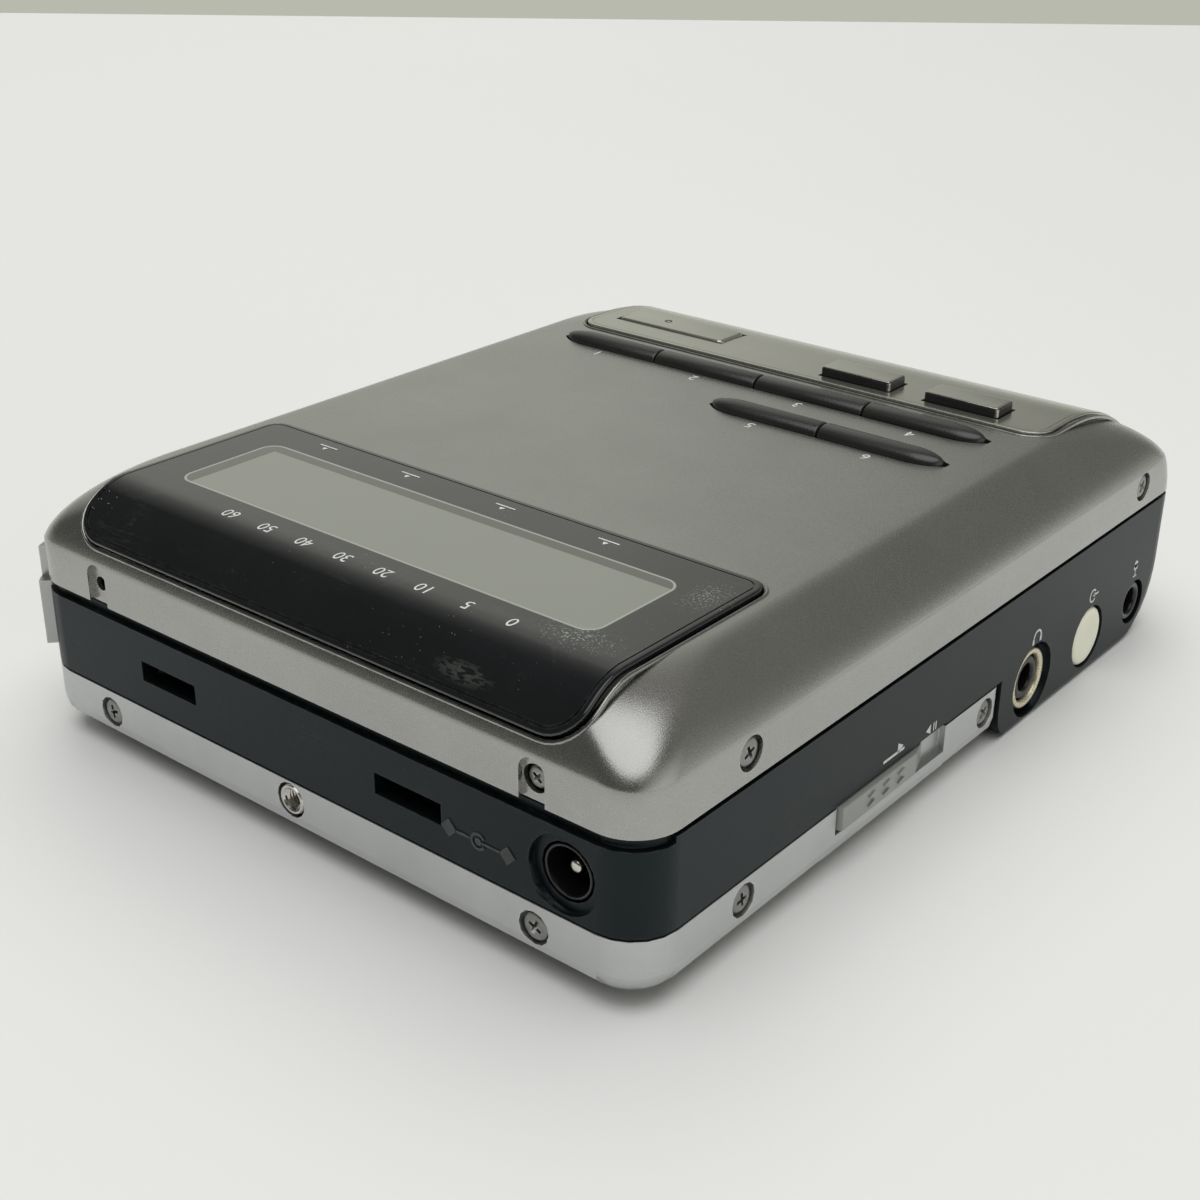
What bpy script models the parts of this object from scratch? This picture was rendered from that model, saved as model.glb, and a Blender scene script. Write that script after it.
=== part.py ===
import bpy
import bmesh
from math import cos, hypot, pi, radians, sin, sqrt
from mathutils import Matrix, Vector

# A portable disc recorder. Metres; X to the user's right, Y to the display end, Z up, table at Z = 0.

# Case
case_width = 0.0968
case_depth = 0.1236
case_top = 0.0332
corner_radius = 0.0058
top_corner_radius = 0.0130
cover_bottom = 0.0206
cover_wall = 0.0013
band_top = 0.0258
shoulder_side = 0.0078
shoulder_rear = 0.0085
nose_upper_start = 0.0200
nose_lower_start = 0.0100
nose_upper_reach = 0.0218
nose_lower_reach = 0.0091
fit_gap = 0.0003
overrun = 0.0010
corner_steps = 5
shoulder_steps = 7
search_step = radians(0.5)
half_width = case_width / 2
half_depth = case_depth / 2
frame_top = cover_bottom - fit_gap
inner_top = case_top - cover_wall

# Cartridge space in the case, which the mechanism and the tray are laid out from
cartridge_length = 0.0680
cartridge_front_room = 0.0268
cartridge_rear_room = 0.0248
cartridge_reach = 0.0001
door_side_wall = 0.0040
chassis_front_reach = 0.0093
chassis_rear_room = 0.0093
chassis_left_inset = 0.0010
chassis_right_room = 0.0059
tray_front_room = 0.0026
cartridge_width = case_depth - cartridge_front_room - cartridge_rear_room
disc_x = half_width - door_side_wall - cartridge_length / 2 + cartridge_reach
disc_y = half_depth - cartridge_rear_room - cartridge_width / 2
chassis_front = disc_y - chassis_front_reach
chassis_rear = half_depth - chassis_rear_room
chassis_left = disc_x - cartridge_length / 2 + chassis_left_inset
chassis_right = half_width - chassis_right_room
tray_front = chassis_front - tray_front_room
housing_rear = tray_front - fit_gap

# Frame between the covers, with the battery and jack housing that drops to the table
frame_bottom = 0.0091
frame_wall = 0.0022
housing_rear_radius = 0.0040
housing_edge = 0.0008
roof_top = 0.0113
housing_rear_wall = 0.0005
front_wall = 0.0030
rear_cavity_front = housing_rear + housing_rear_wall
front_cavity_front = -half_depth + front_wall
guide_rib_height = 0.0038
guide_rib_thickness = 0.0012
guide_rib_left_reach = 0.0305
guide_rib_right_reach = 0.0295
guide_rib_start = disc_x - guide_rib_left_reach
guide_rib_end = disc_x + guide_rib_right_reach
tab_half_width = 0.0021
insert_tab_half_width = 0.0034
tab_thickness = 0.0024
upper_tab_rise = 0.0050
lower_tab_drop = 0.0056
tab_root = 0.0010
rear_slot_right_inset = 0.02605
rear_slot_left_inset = 0.03135
rear_slot_centres = (half_width - rear_slot_right_inset, rear_slot_left_inset - half_width)
rear_slot_half_width = 0.0049
rear_slot_bottom = 0.0128
rear_slot_top = 0.0154

# Tray under the rear part
tray_bottom = 0.0018
tray_top = 0.0088
tray_edge_radius = 0.0026
tray_front_radius = 0.0015
tray_wall = 0.0015
tray_floor = 0.0012
post_radius = 0.0020
post_top = 0.0046
post_side_inset = 0.0040
post_front_inset = 0.0038
post_rear_inset = 0.0060
post_lines = (chassis_front + post_front_inset, chassis_rear - post_rear_inset)
post_places = [(x, y) for y in post_lines
               for x in (chassis_left + post_side_inset, chassis_right - post_side_inset)]
foot_radius = 0.0040
foot_sink = 0.0006
foot_inset = 0.0105

# Display window and the glass under it
lens_far_room = 0.0334
lens_side_margin = 0.0093
lens_far = half_depth - lens_far_room
lens_half_width = half_width - lens_side_margin
lens_lift = 0.0005
lens_depth = 0.0011
lens_lower_z = 0.0279
lens_far_radius = 0.0025
lens_near_radius = 0.0045
lcd_side_border = 0.0056
lcd_far_border = 0.0061
lcd_near_room = 0.0118
lcd_half_width = lens_half_width - lcd_side_border
lcd_far = lens_far + lcd_far_border
lcd_near = half_depth - lcd_near_room
lcd_thickness = 0.0022
board_top = 0.0290
board_thickness = 0.0008
board_side_step = 0.0016
board_front_room = 0.0278
board_half_width = lens_half_width - board_side_step
board_front = -half_depth + board_front_room
board_rear = lcd_near
boss_radius = 0.0020
boss_side_inset = 0.0035
boss_line_shares = (0.393, 0.673)
boss_places = [(side * (board_half_width - boss_side_inset), board_front + share * (board_rear - board_front))
               for share in boss_line_shares for side in (-1, 1)]

# Ridge keys in two rows on the top
row_centre_x = 0.0003
row_side_margin = 0.0132
edit_row_room = 0.0351
row_spacing = 0.0109
display_row_step = 0.0003
row_half_length = half_width - row_side_margin
edit_row_y = -half_depth + edit_row_room
display_row_y = edit_row_y + row_spacing
display_row_end = row_centre_x + display_row_step
ridge_half_depth = 0.0020
ridge_rise = 0.0013
ridge_shoulder = 0.0003
ridge_tip = 0.0045
ridge_tip_shares = (0, 0.1, 0.3, 0.6, 1)
ridge_crest_share = 0.35
ridge_least_share = 0.2
key_bottom = 0.0300
key_spacing_gap = 0.0003

# Plate over the front slope and its keys
panel_room = 0.0295
panel_near = -half_depth + panel_room
panel_low_z = 0.0228
panel_centre_x = -0.0008
panel_side_margin = 0.0092
panel_half_width = half_width - panel_side_margin
panel_lift = 0.0004
panel_depth = 0.0012
panel_near_radius = 0.0035
panel_far_radius = 0.0050
bar_rise = 0.00175
bar_step = 0.0023
bar_width = 0.0045
bar_half_length = 0.0056
bar_end_inset = 0.0132
bar_pitch = 0.01665
bar_near = panel_near - bar_step
bar_far = bar_near - bar_width
bar_first = panel_centre_x - panel_half_width + bar_end_inset
bar_centres = (bar_first + bar_pitch, bar_first)
bar_bevel = 0.0005
long_key_rise = 0.0007
long_key_step = 0.0052
long_key_width = 0.0062
long_key_half_length = 0.0098
long_key_inset = 0.0136
long_key_near = panel_near - long_key_step
long_key_far = long_key_near - long_key_width
long_key_centre = panel_centre_x + panel_half_width - long_key_inset
slope_key_height = 0.0262
slope_key_rise = 0.0007
slope_key_depth = 0.0030
slope_key_spacing = 0.0023
slope_key_end_margin = 0.00535
slope_key_half_width = 0.0022
slope_key_pitch = (panel_half_width - slope_key_end_margin + slope_key_spacing / 2) / 2
slope_key_half_length = (slope_key_pitch - slope_key_spacing) / 2
slope_key_radius = 0.0020

# Disc door on the right side
door_stand_out = 0.0014
door_depth = 0.0018
door_bottom = 0.0094
door_lower_top = 0.0197
door_top = 0.0236
door_front_room = 0.0231
door_front = -half_depth + door_front_room
door_swing_clearance = 0.0006
door_edge_rise = 0.00075
door_wrap = radians(50)
door_upper_wrap = radians(35)
door_knuckle_radius = 0.0009
door_pin_radius = 0.0004
door_pin_anchor = 0.0022
door_lug_room = 0.0148
door_lug_length = 0.0025
door_lug_front = half_depth - door_lug_room
door_lug_rear = door_lug_front + door_lug_length
door_skin = 0.0010
slot_bottom = 0.0119
slot_top = 0.0199

# Disc holder and the mechanism
holder_bottom = 0.0116
holder_height = 0.0066
holder_sheet = 0.0005
holder_side_play = 0.0007
motor_radius = 0.0090
motor_bottom = 0.0060
motor_top = 0.0096
shaft_radius = 0.0010
turntable_radius = 0.0075
turntable_flange = 0.0008
magnet_radius = 0.0055
magnet_top = 0.0120
hub_radius = 0.0020
hub_tip_radius = 0.0012
hub_top = 0.0131
chassis_bottom = 0.0049
chassis_thickness = 0.0008
flange_top = 0.0150
flange_side_inset = 0.0005
left_flange_length = 0.0170
right_flange_length = 0.0105
left_flange_start = chassis_left + flange_side_inset
right_flange_end = chassis_right - flange_side_inset
flange_spans = ((left_flange_start, left_flange_start + left_flange_length),
                (right_flange_end - right_flange_length, right_flange_end))
rod_offset = 0.0120
rod_radius = 0.0010
rod_height = 0.0078
ear_half_width = 0.0022
ear_top = 0.0098
ear_front_reach = 0.0082
ear_rear_inset = 0.0056
ear_thickness = 0.0010
ear_front = disc_y + ear_front_reach
ear_rear = chassis_rear - ear_rear_inset
sled_half_width = 0.0145
sled_front_reach = 0.0100
sled_length = 0.0140
sled_front = disc_y + sled_front_reach
sled_rear = sled_front + sled_length
sled_bottom = 0.0063
sled_top = 0.0110
tongue_half_width = 0.0035
holder_arm_room = 0.0032
tongue_end = disc_y + cartridge_width / 2 + holder_side_play + holder_sheet + holder_arm_room
tongue_top = 0.0090
nut_inset = 0.0030
nut_length = 0.0040
nut_front = sled_front + nut_inset
nut_rear = nut_front + nut_length
nut_half_height = 0.0008
screw_offset = 0.0180
screw_radius = 0.0012
screw_height = 0.0086
screw_front_reach = 0.0012
screw_front = ear_front - screw_front_reach
sled_motor_radius = 0.0026
sled_motor_length = 0.0140
sled_motor_front = screw_front - sled_motor_length
objective_radius = 0.0022
objective_top = 0.0119
objective_inset = 0.0055
objective_y = sled_front + objective_inset
arm_upright = 0.0012
arm_bottom_clear = 0.0003
arm_under = 0.0206
arm_thickness = 0.0010
arm_tip_reach = 0.0120
head_length = 0.0070
arm_tip = disc_y + arm_tip_reach
head_end = arm_tip + head_length
head_bottom = 0.0178

# Battery compartment
jack_room = 0.0129
battery_side_room = 0.0054
battery_front_room = 0.0080
battery_rear_room = 0.0060
battery_left = -half_width + jack_room
battery_right = half_width - battery_side_room
battery_front = -half_depth + battery_front_room
battery_rear = housing_rear - battery_rear_room
battery_top = 0.0097
battery_edge = 0.0010
lid_thickness = 0.0012
lid_margin = 0.0018
contact_width = 0.0050
contact_height = 0.0050
contact_thickness = 0.0005
contact_inset = 0.0120

# Sockets
jack_height = 0.0057
phones_inset = 0.0088
mic_inset = 0.0112
line_place_share = 0.4706
phones_y = housing_rear - phones_inset
mic_y = -half_depth + mic_inset
line_y = mic_y + (phones_y - mic_y) * line_place_share
socket_recess_radius = 0.0052
socket_recess_depth = 0.0016
barrel_radius = 0.0030
barrel_bore = 0.0018
barrel_back = 0.0095
barrel_sink = 0.0009
barrel_floor = 0.0010
ring_radius = 0.00415
ring_bore = 0.0033
ring_sink = 0.0005
plug_radius = 0.0042
plug_depth = 0.0024
plug_crown = 0.0003
mic_bevel_radius = 0.0033
mic_sink = 0.0003
dc_inset = 0.00995
dc_x = -half_width + dc_inset
dc_z = 0.0139
dc_recess_radius = 0.0045
dc_recess_depth = 0.0008
dc_barrel_radius = 0.0031
dc_barrel_bore = 0.00275
dc_back = 0.0095
dc_pin_radius = 0.0008
dc_pin_sink = 0.0018
insert_x = 0.0018
insert_z = 0.0063
insert_radius = 0.0019
insert_bore = 0.0011
insert_length = 0.0032
insert_sink = 0.0001

# Hold knob on the left side
hold_inset = 0.0138
hold_length = 0.0241
hold_front = tray_front + hold_inset
hold_rear = hold_front + hold_length
hold_low = 0.0053
hold_recess_depth = 0.0009
hold_knob_length = 0.0191
hold_knob_low = 0.0058
hold_knob_high = 0.0088
hold_knob_proud = 0.0006
hold_rib_proud = 0.0009
hold_rib_width = 0.0010
hold_rib_pitch = 0.0038
hold_end_slope = 0.0010

# Screws
screw_head_radius = 0.0017
screw_head_height = 0.0007
screw_shank_radius = 0.0008
screw_length = 0.0042
screw_head_sink = 0.0002
notch_head_radius = 0.0013
notch_half_width = 0.0017
notch_top = 0.0257
notch_depth = 0.0007
notch_inset = 0.01395
notch_x = half_width - notch_inset
notch_screw_z = 0.0231
upper_screw_z = 0.0238
lower_screw_z = 0.0062
side_screw_rear_inset = 0.0172
upper_screw_front_inset = 0.0135
lower_screw_front_inset = 0.0037
rear_lower_screw_inset = 0.01385
upper_side_screws = (half_depth - side_screw_rear_inset, -half_depth + upper_screw_front_inset)
lower_side_screws = (half_depth - side_screw_rear_inset, tray_front + lower_screw_front_inset)
rear_lower_screw_x = half_width - rear_lower_screw_inset
rear_lower_screw_z = 0.0058
round_steps = 12

finishes = {
    "cover": ((0.20, 0.20, 0.20), 0.35, 0.6),
    "frame": ((0.025, 0.028, 0.032), 0.45, 0.0),
    "tray": ((0.45, 0.46, 0.47), 0.38, 0.7),
    "lens": ((0.01, 0.011, 0.012), 0.08, 0.0),
    "lcd": ((0.30, 0.32, 0.28), 0.3, 0.0),
    "board": ((0.02, 0.12, 0.06), 0.5, 0.0),
    "black_key": ((0.02, 0.02, 0.02), 0.35, 0.0),
    "metal_key": ((0.22, 0.22, 0.21), 0.35, 0.6),
    "door": ((0.42, 0.43, 0.43), 0.38, 0.7),
    "steel": ((0.55, 0.55, 0.55), 0.3, 1.0),
    "sheet": ((0.62, 0.62, 0.60), 0.35, 1.0),
    "cream": ((0.80, 0.77, 0.65), 0.45, 0.0),
    "gold": ((0.80, 0.72, 0.50), 0.3, 0.8),
    "black_socket": ((0.015, 0.015, 0.015), 0.4, 0.0),
    "rubber": ((0.03, 0.03, 0.03), 0.8, 0.0),
    "glass": ((0.35, 0.30, 0.55), 0.05, 0.0),
    "cell": ((0.10, 0.11, 0.13), 0.45, 0.0),
}


def clear_scene():
    for item in list(bpy.data.objects):
        bpy.data.objects.remove(item)


def make_materials():
    made = {}
    for name, (colour, roughness, metallic) in finishes.items():
        material = bpy.data.materials.new(name)
        material.use_nodes = True
        shader = material.node_tree.nodes["Principled BSDF"]
        shader.inputs["Base Color"].default_value = (*colour, 1)
        shader.inputs["Roughness"].default_value = roughness
        shader.inputs["Metallic"].default_value = metallic
        material.diffuse_color = (*colour, 1)
        made[name] = material
    return made


def finish(bm, name, finish_name):
    """Close the mesh up and put it in the scene as one object."""
    bmesh.ops.recalc_face_normals(bm, faces=bm.faces)
    mesh = bpy.data.meshes.new(name)
    bm.to_mesh(mesh)
    bm.free()
    mesh.shade_smooth()
    mesh.set_sharp_from_angle(angle=radians(35))
    piece = bpy.data.objects.new(name, mesh)
    bpy.context.scene.collection.objects.link(piece)
    if finish_name:
        mesh.materials.append(materials[finish_name])
    else:
        piece.hide_render = True
        piece.display_type = "WIRE"
    return piece


def loft(name, loops, finish_name=None, endless=False):
    """Skin matching loops in turn; the first and last are capped unless the chain is endless."""
    bm = bmesh.new()
    rows = [[bm.verts.new(point) for point in loop] for loop in loops]
    if endless:
        rows.append(rows[0])
    for lower, upper in zip(rows, rows[1:]):
        for here in range(len(lower)):
            after = (here + 1) % len(lower)
            bm.faces.new((lower[here], lower[after], upper[after], upper[here]))
    if not endless:
        bm.faces.new(reversed(rows[0]))
        bm.faces.new(rows[-1])
    return finish(bm, name, finish_name)


def box(name, low, high, finish_name=None, bevel=0, bevel_axis=None):
    """A block between two corners, with its edges along one axis rounded where asked."""
    bm = bmesh.new()
    centre = (Vector(low) + Vector(high)) / 2
    span = Vector(high) - Vector(low)
    place = Matrix.Translation(centre) @ Matrix.Diagonal((*span, 1))
    bmesh.ops.create_cube(bm, size=1, matrix=place)
    if bevel:
        edges = [edge for edge in bm.edges if runs_along(edge, bevel_axis)]
        bmesh.ops.bevel(bm, geom=edges, offset=bevel, segments=2, profile=0.5,
                        affect="EDGES", clamp_overlap=True)
    return finish(bm, name, finish_name)


def runs_along(edge, axis):
    if axis is None:
        return True
    run = edge.verts[1].co - edge.verts[0].co
    return abs(run[axis]) > run.length / 2


def extruded(name, outline, axis, low, high, finish_name=None):
    """A flat outline in the two other axes, extruded along axis from low to high."""
    bm = bmesh.new()
    points = []
    for first, second in outline:
        point = [first, second]
        point.insert(axis, low)
        points.append(bm.verts.new(point))
    face = bm.faces.new(points)
    grown = bmesh.ops.extrude_face_region(bm, geom=[face])
    moved = [item for item in grown["geom"] if isinstance(item, bmesh.types.BMVert)]
    step = Vector((0, 0, 0))
    step[axis] = high - low
    bmesh.ops.translate(bm, verts=moved, vec=step)
    return finish(bm, name, finish_name)


def turned(name, base, axis, profile, finish_name=None, steps=round_steps, endless=False):
    """Turn (radius, distance) points round the line that leaves base along axis."""
    axis = Vector(axis).normalized()
    turn = Vector((0, 0, 1)).rotation_difference(axis).to_matrix()
    loops = []
    for radius, along in profile:
        loop = []
        for step in range(steps):
            angle = 2 * pi * step / steps
            spoke = turn @ Vector((radius * cos(angle), radius * sin(angle), along))
            loop.append(Vector(base) + spoke)
        loops.append(loop)
    return loft(name, loops, finish_name, endless)


def rod(name, base, axis, radius, length, finish_name=None, steps=round_steps):
    return turned(name, base, axis, ((radius, 0), (radius, length)), finish_name, steps)


def drill(name, base, axis, radius, depth, steps=round_steps):
    """A cutter that starts outside base and goes depth along axis."""
    start = Vector(base) - Vector(axis).normalized() * overrun
    return rod(name, start, axis, radius, depth + overrun, None, steps)


def combine(piece, other, operation):
    step = piece.modifiers.new(other.name, "BOOLEAN")
    step.operation = operation
    step.solver = "EXACT"
    step.object = other


def cut(piece, *cutters):
    for cutter in cutters:
        combine(piece, cutter, "DIFFERENCE")


def add(piece, *additions):
    for addition in additions:
        combine(piece, addition, "UNION")


def place_origin(piece, point):
    """Put the object's origin on its joint, leaving the shape where it is."""
    piece.data.transform(Matrix.Translation(-Vector(point)))
    piece.location = point
    return piece


def front_line(z, inset=0):
    """Y of the case's front skin at a height, moved inwards by inset."""
    if z >= nose_upper_start:
        reach = nose_upper_reach
        share = (z - nose_upper_start) / (case_top - nose_upper_start - inset)
    else:
        reach = nose_lower_reach
        share = max(nose_lower_start - z, 0) / (nose_lower_start - inset)
    return -half_depth + reach - (reach - inset) * sqrt(max(1 - share ** 2, 0))


def ring(z, half, front, rear, radius, front_radius=None):
    """A rounded rectangle at height z, anticlockwise from above."""
    fore = radius if front_radius is None else front_radius
    corners = ((half - radius, rear - radius, radius), (radius - half, rear - radius, radius),
               (fore - half, front + fore, fore), (half - fore, front + fore, fore))
    points = []
    for quarter, (x, y, bend) in enumerate(corners):
        for step in range(corner_steps + 1):
            angle = pi / 2 * (quarter + step / corner_steps)
            points.append(Vector((x + bend * cos(angle), y + bend * sin(angle), z)))
    return points


def cover_loops(inset):
    """Rings of the top cover's skin from its lower edge to the flat top, moved inwards by inset."""
    rise = case_top - band_top - inset
    loops = []
    for z in (cover_bottom, (cover_bottom + band_top) / 2, band_top):
        loops.append(ring(z, half_width - inset, front_line(z, inset), half_depth - inset,
                          corner_radius - inset))
    for step in range(1, shoulder_steps + 1):
        angle = pi / 2 * step / shoulder_steps
        z = band_top + rise * sin(angle)
        side = half_width - shoulder_side + (shoulder_side - inset) * cos(angle)
        rear = half_depth - shoulder_rear + (shoulder_rear - inset) * cos(angle)
        radius = corner_radius - inset + (top_corner_radius - corner_radius) * sin(angle) ** 2
        loops.append(ring(z, side, front_line(z, inset), rear, radius))
    return loops


def sample_line(point_at, low, high, count=240):
    """Points (y, z, normal y, normal z, length so far) along a profile."""
    samples = []
    length = 0
    for step in range(count + 1):
        value = low + (high - low) * step / count
        y, z, ny, nz = point_at(value)
        if samples:
            length += hypot(y - samples[-1][0], z - samples[-1][1])
        samples.append((y, z, ny, nz, length))
    return samples


def on_line(samples, length):
    """The profile's point and normal at a length along it, straight on past its ends."""
    after = 1
    while after < len(samples) - 1 and samples[after][4] < length:
        after += 1
    first, second = samples[after - 1], samples[after]
    share = (length - first[4]) / (second[4] - first[4])
    return [a + (b - a) * share for a, b in zip(first[:4], second[:4])]


def rear_profile(turn):
    """Top and rear shoulder: turn below zero runs forward along the flat top."""
    if turn < 0:
        return half_depth - shoulder_rear + turn, case_top, 0, 1
    rise = case_top - band_top
    y = half_depth - shoulder_rear + shoulder_rear * sin(turn)
    z = band_top + rise * cos(turn)
    normal = Vector((sin(turn) / shoulder_rear, cos(turn) / rise)).normalized()
    return y, z, normal.x, normal.y


def nose_profile(turn):
    """Top and front slope: turn below zero runs back along the flat top."""
    flat_end = nose_upper_reach - half_depth
    if turn < 0:
        return flat_end - turn, case_top, 0, 1
    rise = case_top - nose_upper_start
    y = flat_end - nose_upper_reach * sin(turn)
    z = nose_upper_start + rise * cos(turn)
    normal = Vector((-sin(turn) / nose_upper_reach, cos(turn) / rise)).normalized()
    return y, z, normal.x, normal.y


def profile_samples(profile, flat_end, far, low_z, base_z):
    """A profile from the place far on the flat top, round the shoulder, down to low_z."""
    flat = abs(far - flat_end)
    drop = (low_z - base_z) / (case_top - base_z)
    last = pi / 2
    while cos(last) < drop:
        last -= search_step
    flat_part = sample_line(profile, -flat, 0, 2)[:-1]
    bend = sample_line(profile, 0, last)
    start = flat_part[-1][4] + hypot(flat_part[-1][0] - bend[0][0], flat_part[-1][1] - bend[0][1])
    return flat_part + [(*point[:4], point[4] + start) for point in bend]


def skin_plate(name, samples, centre_x, half, radii, lift, depth, grow, finish_name=None):
    """A curved plate that follows a profile, with rounded corners, grown all round by grow."""
    total = samples[-1][4]
    first_radius, last_radius = radii
    stops = [first_radius * (1 - cos(pi / 2 * step / 3)) for step in range(4)]
    bend_steps = 9
    bend_start = samples[2][4]
    bend_end = total - last_radius
    stops += [bend_start + (bend_end - bend_start) * step / bend_steps for step in range(bend_steps)]
    stops += [total - last_radius * (1 - cos(pi / 2 * step / 4)) for step in range(4, -1, -1)]
    loops = []
    for stop in stops:
        y, z, ny, nz = on_line(samples, stop * (1 + 2 * grow / total) - grow)
        in_first = max(first_radius - stop, 0)
        in_last = max(last_radius - (total - stop), 0)
        width = half + grow
        width -= first_radius - sqrt(max(first_radius ** 2 - in_first ** 2, 0))
        width -= last_radius - sqrt(max(last_radius ** 2 - in_last ** 2, 0))
        outer = (y + ny * lift, z + nz * lift)
        inner = (y - ny * depth, z - nz * depth)
        loops.append([(centre_x - width, *outer), (centre_x + width, *outer),
                      (centre_x + width, *inner), (centre_x - width, *inner)])
    return loft(name, loops, finish_name)


def lens_samples():
    return profile_samples(rear_profile, half_depth - shoulder_rear, lens_far, lens_lower_z, band_top)


def panel_samples():
    return profile_samples(nose_profile, nose_upper_reach - half_depth, panel_near, panel_low_z,
                           nose_upper_start)


def side_band(inner, outer, last_angle, front):
    """Plan outline of a band along the right side that wraps round the rear corner."""
    centre_x = half_width - corner_radius
    centre_y = half_depth - corner_radius
    steps = 6
    angles = [last_angle * step / steps for step in range(steps + 1)]
    outside = [(half_width + outer, front)]
    outside += [(centre_x + (corner_radius + outer) * cos(a), centre_y + (corner_radius + outer) * sin(a))
                for a in angles]
    inside = [(centre_x + (corner_radius + inner) * cos(a), centre_y + (corner_radius + inner) * sin(a))
              for a in reversed(angles)]
    inside.append((half_width + inner, front))
    return outside + inside


def screw_seats():
    """Each screw: name, point on the wall's skin, way it goes in, head radius."""
    seats = []
    for number, y in enumerate(upper_side_screws, 1):
        seats.append((f"screw_upper_left_{number}", (-half_width, y, upper_screw_z), (1, 0, 0),
                      screw_head_radius))
    for number, y in enumerate(lower_side_screws, 1):
        seats.append((f"screw_lower_left_{number}", (-half_width, y, lower_screw_z), (1, 0, 0),
                      screw_head_radius))
        seats.append((f"screw_lower_right_{number}", (half_width, y, lower_screw_z), (-1, 0, 0),
                      screw_head_radius))
    seats.append(("screw_rear_left", (-rear_lower_screw_x, half_depth, rear_lower_screw_z), (0, -1, 0),
                  screw_head_radius))
    seats.append(("screw_rear_right", (rear_lower_screw_x, half_depth, rear_lower_screw_z), (0, -1, 0),
                  screw_head_radius))
    seats.append(("screw_notch", (-notch_x, half_depth - notch_depth, notch_screw_z), (0, -1, 0),
                  notch_head_radius))
    return seats


def make_screws():
    for name, seat, way, head in screw_seats():
        neck = screw_head_sink + screw_head_height
        profile = ((head / 2, screw_head_sink), (head, screw_head_sink + screw_head_height / 4),
                   (head, neck), (screw_shank_radius, neck), (screw_shank_radius, screw_length))
        turned(name, seat, way, profile, "steel")


def screw_cutters(want, head_room=True):
    """Head and shank clearances of the screws that want picks."""
    cutters = []
    for name, seat, way, head in screw_seats():
        if not want(name):
            continue
        if head_room:
            depth = screw_head_sink + screw_head_height + fit_gap
            cutters.append(drill(name + "_head_cut", seat, way, head + fit_gap, depth))
        cutters.append(drill(name + "_shank_cut", seat, way, screw_shank_radius + fit_gap,
                             screw_length + fit_gap))
    return cutters


def notch_outline(x, grow=0):
    """A U-shaped notch seen from the rear, open at the cover's lower edge."""
    reach = notch_half_width + grow
    crown = notch_top - notch_half_width
    points = [(x - reach, cover_bottom - overrun), (x + reach, cover_bottom - overrun)]
    for step in range(7):
        angle = pi * step / 6
        points.append((x + reach * cos(angle), crown + reach * sin(angle)))
    return points


def door_axis():
    return half_width - door_depth + door_knuckle_radius, door_bottom + door_knuckle_radius


def make_top_cover():
    outer = cover_loops(0)
    inner = cover_loops(cover_wall)
    cover = loft("top_cover", inner[::-1] + outer, "cover")
    for number, (x, y) in enumerate(boss_places, 1):
        boss = rod(f"cover_boss_{number}", (x, y, board_top + fit_gap), (0, 0, 1), boss_radius,
                   inner_top - board_top - fit_gap + cover_wall / 2, None, 8)
        add(cover, boss)
    cut(cover, skin_plate("lens_opening", lens_samples(), 0, lens_half_width,
                          (lens_far_radius, lens_near_radius), overrun, cover_wall + overrun, fit_gap))
    cut(cover, skin_plate("panel_opening", panel_samples(), panel_centre_x, panel_half_width,
                          (panel_near_radius, panel_far_radius), overrun, cover_wall + overrun, fit_gap))
    for name, row_y, start, end in ridge_rows():
        cut(cover, ridge_slot(name + "_slot", row_y, start, end))
    for side in (-1, 1):
        cut(cover, extruded(f"notch_cut_{side + 2}", notch_outline(side * notch_x), 1,
                            half_depth - notch_depth, half_depth + overrun))
    hole = drill("notch_hole", (notch_x, half_depth - notch_depth, notch_screw_z), (0, -1, 0),
                 screw_shank_radius, cover_wall + overrun)
    cut(cover, hole)
    door_notch = extruded("door_notch", side_band(-cover_wall - overrun, door_stand_out + overrun,
                                                  door_upper_wrap + radians(4), door_front - fit_gap), 2,
                          cover_bottom - overrun, door_top + door_swing_clearance)
    cut(cover, door_notch)
    cut(cover, *screw_cutters(lambda name: "upper" in name or "notch" in name))
    return cover


def make_lens():
    samples = lens_samples()
    skin_plate("display_lens", samples, 0, lens_half_width, (lens_far_radius, lens_near_radius),
               lens_lift, lens_depth, 0, "lens")
    lcd_top = case_top - lens_depth - fit_gap
    box("lcd_panel", (-lcd_half_width, lcd_far, lcd_top - lcd_thickness),
        (lcd_half_width, lcd_near, lcd_top), "lcd")


def make_control_board():
    board = box("control_board", (-board_half_width, board_front, board_top - board_thickness),
                (board_half_width, board_rear, board_top), "board", board_thickness * 2, 2)
    return board


def ridge_rows():
    """Name, centre line and ends of the two rows of ridge keys."""
    start = row_centre_x + row_half_length
    end = row_centre_x - row_half_length
    return (("edit_row", edit_row_y, start, end), ("display_row", display_row_y, display_row_end, end))


def ridge_share(x, start, end):
    """1 along the row, falling to the blunt tips at its two ends."""
    near_tip = min(start - x, x - end)
    if near_tip >= ridge_tip:
        return 1
    return sqrt(max(1 - (1 - near_tip / ridge_tip) ** 2, ridge_least_share ** 2))


def ridge_stops(start, end, low, high):
    """Places along a key from high to low, close together on the row's tips."""
    marks = [start - ridge_tip * share for share in ridge_tip_shares]
    marks += [end + ridge_tip * share for share in reversed(ridge_tip_shares)]
    return [high] + [mark for mark in marks if low < mark < high] + [low]


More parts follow.
